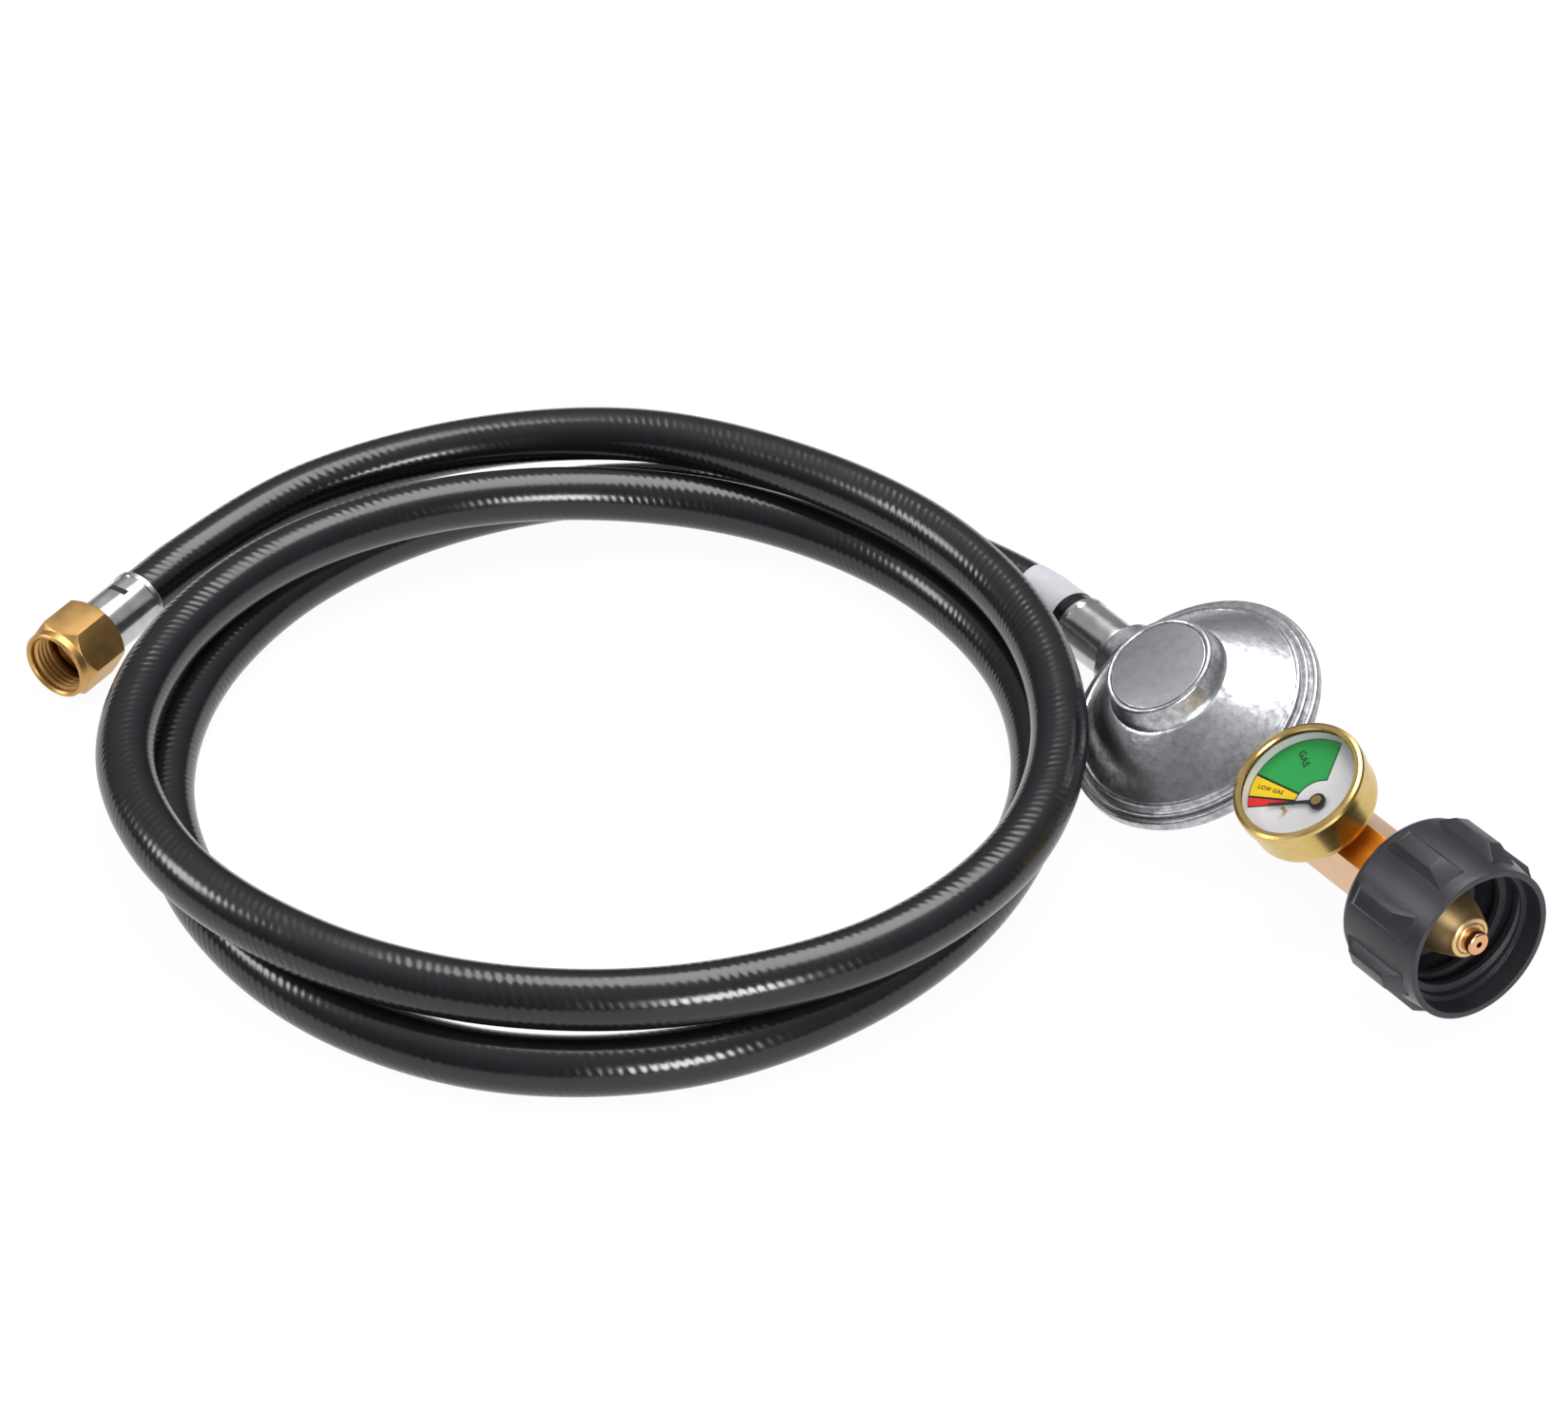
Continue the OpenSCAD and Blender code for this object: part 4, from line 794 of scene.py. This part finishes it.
# %% Turned piece helper
def turned_mesh(profile, sides, flats=0, across=0.0, flat_from=0.0, flat_to=0.0):
    """Points and faces of a profile turned about x, with flats pressed over a stretch of it."""
    points, faces = [], []
    for x, radius in profile:
        for k in range(sides):
            turn = math.tau * k / sides
            reach = radius
            if flats and flat_from <= x <= flat_to:
                off = (turn + math.pi / flats) % (math.tau / flats) - math.pi / flats
                reach = min(radius, across / 2 / math.cos(off))
            points.append((x, reach * math.cos(turn), reach * math.sin(turn)))
    rows = len(profile)
    for i in range(rows):
        n, m = i * sides, (i + 1) % rows * sides
        # a step along the axis itself has no width
        if profile[i][1] == 0 and profile[(i + 1) % rows][1] == 0:
            continue
        faces += [(n + k, n + (k + 1) % sides, m + (k + 1) % sides, m + k) for k in range(sides)]
    return points, faces


def joined(*meshes):
    """Several meshes as one."""
    points, faces = [], []
    for more, found in meshes:
        faces += [tuple(len(points) + v for v in face) for face in found]
        points += more
    return points, faces


def arc(x, radius, size, start, end, steps=6):
    """Points of an arc in a profile: its centre, its size and its two angles in degrees."""
    turns = [math.radians(start + (end - start) * k / steps) for k in range(steps + 1)]
    return [(x + size * math.cos(t), radius + size * math.sin(t)) for t in turns]


# %% [markdown]
# Hand nut
# --------
# The nut is one nylon moulding: a cup with a round back shoulder and eight wedge shaped grips. It
# could be one cylinder with grips cut in by booleans, but those leave ragged faces that round badly.
# So the cup is a turned profile, and a grip is a loft of four sections: low at the back, full height
# along the middle and down again before the mouth. They share one mesh, whose edges are rounded.

# %% Hand nut
# where the cup's back and mouth are along the inlet axis, and its radii there
NUT_X, NUT_MOUTH, NUT_R, LIP_R = HAND_NUT_X, 104.6, 20.2, 19.6
# the hole in its back, where the hollow begins, the thread's radius, and the wider mouth
NUT_BORE, NUT_CAVITY_X, THREAD_R, MOUTH_IN_R, MOUTH_DEEP = 8.45, 80.7, 16.75, 18.0, 5.5
SHOULDER = 2.6
# how many grips, how far out they reach, their width at the foot and at the top, and the first's angle
GRIPS, GRIP_R, GRIP_W, GRIP_TOP_W, GRIP_PHASE = 8, 22.45, 7.5, 4.2, 32.2
NUT_SIDES = 144

cup = arc(NUT_X + SHOULDER, NUT_R - SHOULDER, SHOULDER, 180, 90)
cup += [(NUT_MOUTH - 7, NUT_R), (NUT_MOUTH - 2, LIP_R), (NUT_MOUTH, LIP_R), (NUT_MOUTH, MOUTH_IN_R),
        (NUT_MOUTH - MOUTH_DEEP, MOUTH_IN_R), (NUT_MOUTH - MOUTH_DEEP, THREAD_R), (NUT_CAVITY_X, THREAD_R),
        (NUT_CAVITY_X, NUT_BORE), (NUT_X, NUT_BORE)]
# where a grip's section is, and how high it stands there
GRIP_LINE = [(NUT_X + 3.2, NUT_R - 0.2), (NUT_X + 6.3, GRIP_R), (NUT_MOUTH - 8.6, GRIP_R),
             (NUT_MOUTH - 3.8, NUT_R - 0.4)]
GRIP_FOOT, GRIP_SIDE = NUT_R - 1.5, NUT_R - 0.6


def grip(turn):
    """One grip of the hand nut, turned about x by an angle in radians."""
    points, faces = [], []
    foot = GRIP_W / 2
    for x, high in GRIP_LINE:
        share = (high - GRIP_SIDE) / (GRIP_R - GRIP_SIDE)
        top = (GRIP_W + (GRIP_TOP_W - GRIP_W) * share) / 2
        section = [(-foot, GRIP_FOOT), (foot, GRIP_FOOT), (foot, GRIP_SIDE), (top, high), (-top, high),
                   (-foot, GRIP_SIDE)]
        for across, up in section:
            points.append((x, up * math.cos(turn) - across * math.sin(turn),
                           up * math.sin(turn) + across * math.cos(turn)))
    # six points to a section, and the two end sections are closed
    end = len(points) - 6
    for n in range(0, end, 6):
        faces += [(n + k, n + (k + 1) % 6, n + 6 + (k + 1) % 6, n + 6 + k) for k in range(6)]
    return points, faces + [tuple(range(6)), tuple(range(end, end + 6))]


grips = [grip(math.radians(GRIP_PHASE + 360 / GRIPS * k)) for k in range(GRIPS)]
hand_nut = piece("hand_nut_moulding", *joined(turned_mesh(cup, NUT_SIDES), *grips), REGULATOR,
                 grained_nylon, "nut_plastic", "tank_nut")
round_edges(hand_nut, 0.4)
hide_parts("hand_nut")

# %% [markdown]
# Inlet nose and probe
# --------------------
# The nose is turned from brass bar: a thread that screws into the block, a flange that the nut pulls
# on, and a bullet that seals in the tank valve. A rolled ring holds the probe in its flat end. Stacked
# cones would show their edges, so nose and probe are one profile each. The bullet's side is a formula
# that narrows it ever faster to its end, and the ring's two rounds are arcs, because they catch the
# light in the dark of the mouth.

# %% Inlet nose and probe
# places along the inlet axis and radii: the stem in the block, the flange, the bullet, the probe
STEM_X, STEM_R, NECK_R = 66.0, 6.55, 8.4
FLANGE_X, FLANGE_R = 84.4, 13.0
NOSE_X, NOSE_R, NOSE_END_R = 86.0, 9.2, 5.3
PROBE_END, PROBE_R = 104.4, 3.0
ROLL_X = PROBE_END - 3.8
# the wide bore round the poppet, the narrow one in front of it, and the probe's own two
FLOW_R, GAS_R, PROBE_BORE_R, PROBE_HOLE_R = 4.7, 2.2, 1.9, 0.8
BULLET_STEPS = 12

bullet = []
for k in range(BULLET_STEPS + 1):
    t = k / BULLET_STEPS
    narrowed = (NOSE_R - NOSE_END_R) * (0.25 * t + 0.75 * t * t)
    bullet.append((NOSE_X + t * (ROLL_X - NOSE_X), NOSE_R - narrowed))
nose = [(STEM_X, FLOW_R), (STEM_X, STEM_R), (NUT_X - 0.3, STEM_R), (NUT_X - 0.3, NECK_R), (FLANGE_X, NECK_R),
        (FLANGE_X, FLANGE_R - 0.4), (FLANGE_X + 0.4, FLANGE_R), (NOSE_X - 0.4, FLANGE_R),
        (NOSE_X, FLANGE_R - 0.4)]
nose += bullet
nose += arc(ROLL_X + 0.1, NOSE_END_R - 0.5, 0.5, 80, 0, 4)
nose += [(ROLL_X + 0.6, NOSE_END_R - 1.1), (ROLL_X + 0.1, NOSE_END_R - 1.25),
         (ROLL_X + 0.1, NOSE_END_R - 1.4)]
nose += arc(ROLL_X + 0.55, NOSE_END_R - 1.85, 0.45, 90, 0, 4)
nose += [(ROLL_X + 1, PROBE_R + 0.05), (ROLL_X - 3, PROBE_R + 0.05), (ROLL_X - 3, GAS_R),
         (NOSE_X + 0.4, GAS_R), (NOSE_X + 0.4, FLOW_R)]
inlet_nose = piece("inlet_nose_turned", *turned_mesh(nose, sides=96), REGULATOR, inlet_brass, "brass",
                   sharp=28)
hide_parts("inlet_nipple")

probe = [(ROLL_X - 3, PROBE_BORE_R), (ROLL_X - 3, PROBE_R)]
probe += arc(PROBE_END - 0.7, PROBE_R - 0.7, 0.7, 90, 0, 5)
probe += [(PROBE_END, PROBE_HOLE_R), (PROBE_END - 1.6, PROBE_HOLE_R), (PROBE_END - 1.6, PROBE_BORE_R)]
probe_piece = piece("probe_turned", *turned_mesh(probe, sides=72), REGULATOR, probe_brass, "brass",
                    sharp=28)
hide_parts("probe_tip")

# %% [markdown]
# Bonnet and cap
# --------------
# The bonnet is a zinc casting that was turned on its flange. Stacked cones and cylinders could give
# its bulk, but its look is in the small steps and rounds between them. So its wall is drawn as one
# closed profile: two steps at the flange, the cone, a hollow flare up to the tower and a rolled edge
# that holds the cap. The vent is a low boss behind the tower, where dirt and rain do not run into it,
# and its screen is a disc in the boss.

# %% Bonnet
# radii, and heights above the inlet axis: the flange and its steps, and the cone's foot
RIM_R, FLANGE_H, STEP_H, CONE_H, CONE_R = 33.5, 12.0, 14.8, 16.2, 28.4
# the tower's foot and top, and its radius there and where the cone runs into it
TOWER_H, TOWER_TOP, TOWER_R, TOWER_FOOT = 26.8, 32.8, 14.1, 16.6
# inside: the tower's bore, the height and the radius of the cap's seat, and the chamber over the rubber
TOWER_IN, CAP_SEAT, CAP_R, CHAMBER_R = 10.8, 30.8, 12.75, 24.5
BONNET_SIDES = 144
UPRIGHT = place(middle, bonnet_axis, inlet_axis, across_axis)

wall = [(FLANGE_H, CHAMBER_R), (FLANGE_H, RIM_R - 1.75), (STEP_H - 0.7, RIM_R - 1.75)]
wall += arc(STEP_H - 0.7, RIM_R - 2.45, 0.7, 90, 0, 4)
wall += [(STEP_H, CONE_R + 1.7), (STEP_H + 0.9, CONE_R + 1.35), (STEP_H + 1.2, CONE_R + 0.9),
         (STEP_H + 0.9, CONE_R + 0.45), (STEP_H + 1.2, CONE_R), (TOWER_H, TOWER_FOOT),
         (TOWER_H + 0.25, TOWER_FOOT - 0.9), (TOWER_H + 0.8, TOWER_FOOT - 1.4), (TOWER_H + 2, TOWER_R + 0.75),
         (TOWER_TOP - 1.4, TOWER_R + 0.2)]
wall += arc(TOWER_TOP - 0.35, TOWER_R - 0.85, 0.85, 90, 0, 6)
wall += [(TOWER_TOP + 0.35, CAP_R + 0.15), (TOWER_TOP + 0.1, CAP_R), (CAP_SEAT, CAP_R), (CAP_SEAT, TOWER_IN),
         (TOWER_H - 1, TOWER_IN), (FLANGE_H + 2.2, CHAMBER_R)]
print("bonnet profile:", len(wall), "points")

# %% Vent
# how far out on the cone the boss stands, its radius and height, and how deep it goes in the cone
VENT_OUT, VENT_R, VENT_TALL, VENT_IN = 21.2, 2.5, 0.6, 0.8
VENT_SIDES = 48

slope = math.atan2(TOWER_H - CONE_H, CONE_R - TOWER_FOOT)
vent_at = Vector((CONE_H + (CONE_R - VENT_OUT) * math.tan(slope), -VENT_OUT, 0))
lean = Matrix.Translation(vent_at) @ Matrix.Rotation(-slope, 4, "Z")


def leaning(profile):
    """A turned mesh that stands square on the cone, where the vent is."""
    points, faces = turned_mesh(profile, VENT_SIDES)
    return [tuple(lean @ Vector(p)) for p in points], faces


boss = leaning([(-VENT_IN, VENT_R - 0.6), (-VENT_IN, VENT_R), (VENT_TALL, VENT_R - 0.2),
                (VENT_TALL, VENT_R - 0.6)])
bonnet = piece("bonnet_turned", *joined(turned_mesh(wall, BONNET_SIDES), boss), UPRIGHT, die_cast_zinc,
               "zinc", sharp=30)
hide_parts("bonnet")

screen_disc = leaning([(-VENT_IN, 0), (-VENT_IN, VENT_R - 0.62), (0.2, VENT_R - 0.62), (0.2, 0)])
screen = piece("vent_screen_disc", *screen_disc, UPRIGHT, machined_zinc, "zinc")
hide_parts("vent_screen")

# %% Cap
disc = [(CAP_SEAT + 0.02, 0), (CAP_SEAT + 0.02, CAP_R - 0.04), (TOWER_TOP - 0.1, CAP_R - 0.04)]
disc += arc(TOWER_TOP - 0.02, CAP_R - 0.45, 0.32, 80, 0, 4) + [(TOWER_TOP + 0.3, 0)]
cap = piece("cap_rolled_in", *turned_mesh(disc, BONNET_SIDES), UPRIGHT, pressed_cap, "zinc_cap", sharp=50)
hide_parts("tower_cap")

# %% [markdown]
# Crimped ferrules
# ----------------
# A ferrule is a tinned steel cup that a tool with eight jaws presses on to the hose. The jaws leave
# eight flats and a plain lip where the hose comes out. A bump map could hint at them, but the crimp
# changes the outline, so it is turned and then flattened. One function makes both ends, because the
# same tool does. The one at the far end has a small window that shows how far the hose is in.

# %% Crimped ferrules
# length, radius inside and outside, the hole in the closed end, and the wall there, in millimetres
FERRULE_LEN, FERRULE_IN, FERRULE_OUT, TAIL_R, FERRULE_END = 18.2, 7.2, 7.95, 5.6, 0.8
# the jaws: how many, how far across, and the stretch that they press
JAWS, JAW_ACROSS, JAW_FROM, JAW_TO = 8, 2 * (FERRULE_IN + 0.3), 0.3, FERRULE_LEN - 1.9
FERRULE_SIDES = 96


def ferrule(name, start, way, at, material, node, aside=0):
    """A crimped ferrule from start, running along x by way, plus or minus one."""
    shape = [(0, TAIL_R), (0, FERRULE_OUT - 1.5), (0.4, FERRULE_OUT - 0.8), (1, FERRULE_OUT - 0.4),
             (2.2, FERRULE_OUT - 0.3), (FERRULE_LEN - 3, FERRULE_OUT - 0.25), (JAW_TO, FERRULE_OUT - 0.1),
             (FERRULE_LEN - 1.6, FERRULE_OUT), (FERRULE_LEN - 0.3, FERRULE_OUT + 0.05),
             (FERRULE_LEN, FERRULE_OUT - 0.15), (FERRULE_LEN, FERRULE_IN), (FERRULE_END, FERRULE_IN),
             (FERRULE_END, TAIL_R)]
    points, faces = turned_mesh(shape, FERRULE_SIDES, JAWS, JAW_ACROSS, JAW_FROM, JAW_TO)
    points = [(start + way * x, y + aside, z) for x, y, z in points]
    made = piece(name, points, faces, at, material, "tinned_steel", sharp=22)
    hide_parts(node)
    return made


NEAR_FERRULE_X, FAR_FERRULE_X = -43.5, 16.8
ferrule("near_ferrule_crimped", NEAR_FERRULE_X, -1, REGULATOR, tinned_steel, "near_ferrule", OUTLET_Y)
far_crimp = ferrule("far_ferrule_crimped", FAR_FERRULE_X, 1, FLARE, tinned_far, "far_ferrule")

# %% [markdown]
# Sight window
# ------------
# The window is a short slot across the top flat, and what shows in it is the dark hose. Cutting it
# would take a boolean on the crimped wall for a hole that is under two millimetres long. A block of
# rubber that stands three hundredths of a millimetre over the flat looks the same.

# %% Sight window
# its place along the ferrule, its length and width, and how high the flat is, in millimetres
WINDOW_X, WINDOW_L, WINDOW_W, WINDOW_TOP = 26.5, 1.8, 5.2, 7.5
PROUD = 0.03
window = []
for dx, dy in ((0, -1), (1, -1), (1, 1), (0, 1)):
    window.append((WINDOW_X + dx * WINDOW_L, dy * WINDOW_W / 2))
slot_points = [(x, y, z) for z in (WINDOW_TOP + PROUD, FERRULE_IN - PROUD) for x, y in window]
slot_faces = [(0, 1, 2, 3), (7, 6, 5, 4)] + [(k, (k + 1) % 4, 4 + (k + 1) % 4, 4 + k) for k in range(4)]
sight = piece("sight_window", slot_points, slot_faces, FLARE, hose_rubber_flat, "hose_rubber")

# %% [markdown]
# Print on the dial
# -----------------
# The dial is a white enamelled plate with three fields of colour and a thin dark line round each.
# A field could be painted in the material, but its edges would not stay as sharp. So each is a thin
# printed layer of its own: the fields fan out round the pointer's hub and end at the dial's rim.

# %% Dial fields
# the gauge's middle along the inlet axis, the pointer's hub, and how high the dial's face is
GAUGE_X = 50.3
HUB = Vector((GAUGE_X + 6.3, -0.4))
DIAL_TOP = 20.1
# the print's outer radius, where a field begins from the hub, its line's width, and the ink's depth
PRINT_R, FIELD_IN, LINE_W, LAYER = 14.5, 6.3, 0.3, 0.03
FIELD_STEPS = 32


def rim_reach(angle, edge):
    """How far the printed rim is from the hub at an angle."""
    way = Vector((math.cos(angle), math.sin(angle)))
    out = HUB - Vector((GAUGE_X, 0))
    b = out.dot(way)
    return -b + math.sqrt(b * b - out.length_squared + edge * edge)


def field(start, end, shrink):
    """The outline of a field between two angles in degrees, drawn in by shrink."""
    inside, outside = [], []
    for k in range(FIELD_STEPS + 1):
        turn = math.radians(start + (end - start) * k / FIELD_STEPS)
        for reach, row in ((FIELD_IN + shrink, inside), (rim_reach(turn, PRINT_R - shrink), outside)):
            # near an end the line keeps its width in millimetres, at any distance from the hub
            slack = shrink / reach
            low, high = math.radians(start) + slack, math.radians(end) - slack
            at = min(max(turn, low), high)
            row.append((HUB.x + reach * math.cos(at), HUB.y + reach * math.sin(at)))
    return inside + outside[::-1]


def layer(name, outline, bottom, top, material, slot, body="regulator"):
    """A thin flat piece with a given outline."""
    n = len(outline)
    points = [(x, y, bottom) for x, y in outline] + [(x, y, top) for x, y in outline]
    faces = [tuple(range(n))[::-1], tuple(range(n, 2 * n))]
    faces += [(k, (k + 1) % n, n + (k + 1) % n, n + k) for k in range(n)]
    return piece(name, points, faces, REGULATOR, material, slot, body)


def ink(name, code):
    """Screen printed ink: even, slightly glossy, with a faint unevenness."""
    return moulded(name, code, code, 0.38, grain=0.5, depth=0.002)


# name, from which angle to which, in degrees, and colour
FIELDS = [("red", 208, 217.5, "#f2201a"), ("yellow", 190, 208, "#ffd500"), ("green", 118, 190, "#1ea64a")]
line_ink = ink("dark_line_ink", "#161c18")
for name, start, end, code in FIELDS:
    line_shape, field_shape = field(start, end, 0), field(start, end, LINE_W)
    layer("dial_line_" + name, line_shape, DIAL_TOP - LAYER, DIAL_TOP + LAYER, line_ink, "dial_paint")
    layer("dial_field_" + name, field_shape, DIAL_TOP, DIAL_TOP + 2 * LAYER, ink(name + "_ink", code),
          "dial_paint")

# %% [markdown]
# Seat ring and pointer
# ---------------------
# A ring of clear white plastic keeps the glass off the dial. Its pale colour is partly a painted highlight:
# it stands for the lit edge of the glass, which shows as a pale band inside the bezel. The pointer is a
# pressed strip: a thin needle on a round hub. Its outline is one closed line of points, made into a plate,
# because a strip this thin needs no other form. It is drawn where it stands at rest, at the foot of the
# red field, and rides on the pointer's own body.

# %% Seat ring
GAUGE = place(REGULATOR @ Vector((GAUGE_X, 0, 0)), bonnet_axis, inlet_axis, across_axis)
GLASS_UNDER = 22.3
SEAT_GAP = 0.02
seat_low, seat_high = DIAL_TOP + SEAT_GAP, GLASS_UNDER - SEAT_GAP
seat = [(seat_low, 14.45), (seat_low, 14.95), (seat_high, 14.95), (seat_high, 14.75)]
# the ring's pale tone is partly a painted highlight, for the lit edge of the glass
piece("glass_seat_ring_and_edge_glint", *turned_mesh(seat, sides=120), GAUGE, seat_plastic_and_edge_glint, "poppet_plastic")

# %% Pointer
# its angle at rest, in degrees, the needle's reach, and the hub's radius
POINTER_TURN, NEEDLE, HUB_OUT = 217, 13.0, 2.1
# half the needle's width at the hub and at its tip
NEEDLE_ROOT, NEEDLE_TIP = 0.42, 0.1
POINTER_LOW, POINTER_HIGH = 20.6, 21.15
HUB_STEPS = 48

edge = math.asin(NEEDLE_ROOT / HUB_OUT)
hub_turns = [edge + (math.tau - 2 * edge) * k / HUB_STEPS for k in range(HUB_STEPS + 1)]
outline = [(NEEDLE, -NEEDLE_TIP), (NEEDLE, NEEDLE_TIP)]
outline += [(HUB_OUT * math.cos(t), HUB_OUT * math.sin(t)) for t in hub_turns]
spin = Matrix.Rotation(math.radians(POINTER_TURN), 3, "Z")
outline = [tuple((spin @ Vector((x, y, 0))).xy + HUB) for x, y in outline]
needle = layer("pointer_pressed", outline, POINTER_LOW, POINTER_HIGH, black_lacquer, "pointer_paint",
               "gauge_pointer")
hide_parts("pointer")

# %% [markdown]
# Words on the dial
# -----------------
# Such dials name their fields in small letters that run along the radius towards the hub. Letters
# drawn by hand would be uneven, so a text object gives their outlines, made a little bolder as
# printed letters are, and its mesh is laid on the fields as one more thin layer of ink.

# %% Dial words
# text, field angle, distance from the hub, letter height
WORDS = [("GAS", 154, 14.5, 1.75), ("LOW GAS", 198.5, 14.3, 1.05)]
TOP_OF_PRINT = DIAL_TOP + 3 * LAYER
# a capital's share of the font's size, and how much bolder and wider apart the print is
CAPITAL, BOLDER, APART = 0.7, 0.022, 1.15
word_ink = ink("black_word_ink", "#16261c")

for text, turn, reach, tall in WORDS:
    writing = bpy.data.curves.new("writing", "FONT")
    writing.body = text
    writing.size = tall / CAPITAL
    writing.align_x, writing.align_y = "CENTER", "CENTER"
    writing.space_character = APART
    writing.extrude = LAYER / 2
    writing.offset = BOLDER * writing.size
    holder = bpy.data.objects.new("writing", writing)
    bpy.context.scene.collection.objects.link(holder)
    mesh = bpy.data.meshes.new_from_object(holder)
    bpy.data.objects.remove(holder)
    spin = Matrix.Rotation(math.radians(turn + 180), 4, "Z")
    out = Matrix.Rotation(math.radians(turn), 4, "Z") @ Vector((reach, 0, 0))
    centre = Vector((HUB.x, HUB.y, TOP_OF_PRINT)) + out
    points = [Matrix.Translation(centre) @ spin @ v.co for v in mesh.vertices]
    faces = [tuple(f.vertices) for f in mesh.polygons]
    piece("dial_word_" + text.lower().replace(" ", "_"), points, faces, REGULATOR, word_ink, "dial_paint")

# %% [markdown]
# Threads
# -------
# Threads are left out of the CAD solids, so they are made here. Both nuts have an inside thread that
# shows in the mouth, and one drawn in a shader would not catch the light on its crest. So a ridge of
# four corners winds round the bore, tapering at both ends as a tap leaves it.

# %% Thread helper
# steps to a turn, and how many steps the thread takes to rise at an end
TURN_STEPS, TAPER_STEPS = 72, 20
INCH = 25.4


def thread(name, start, pitch, turns, root, crest, root_w, crest_w, at, material, slot, body):
    """A ridge wound about the x axis, from the root radius to the crest radius."""
    count = int(TURN_STEPS * turns)
    points, faces = [], []
    for k in range(count + 1):
        turn = math.tau * k / TURN_STEPS
        x = start + pitch * k / TURN_STEPS
        taper = min(1, k / TAPER_STEPS, (count - k) / TAPER_STEPS)
        tip = root + (crest - root) * taper
        for dx, radius in ((-root_w / 2, root), (-crest_w / 2, tip), (crest_w / 2, tip), (root_w / 2, root)):
            points.append((x + dx, radius * math.cos(turn), radius * math.sin(turn)))
    for k in range(count):
        n, m = 4 * k, 4 * (k + 1)
        faces += [(n + a, n + (a + 1) % 4, m + (a + 1) % 4, m + a) for a in range(4)]
    faces += [(0, 1, 2, 3), tuple(4 * count + a for a in range(4))]
    return piece(name, points, faces, at, material, slot, body, sharp=25)


# start, pitch, turns, radius at the root and at the crest, and width at the root and at the crest:
# 5/8 in, 18 threads an inch, in the flare nut
flare_thread = thread("flare_nut_thread", 1.2, INCH / 18, 4.6, 8.0, 7.25, 1.25, 0.2, FLARE, flare_brass,
                      "satin_brass", "appliance_nut")
# 1 5/16 in, 5 threads an inch, in the hand nut
thread("hand_nut_thread", 87.5, INCH / 5, 2.0, 16.85, 15.2, 2.6, 1.5, REGULATOR, grained_nylon,
       "nut_plastic", "tank_nut")
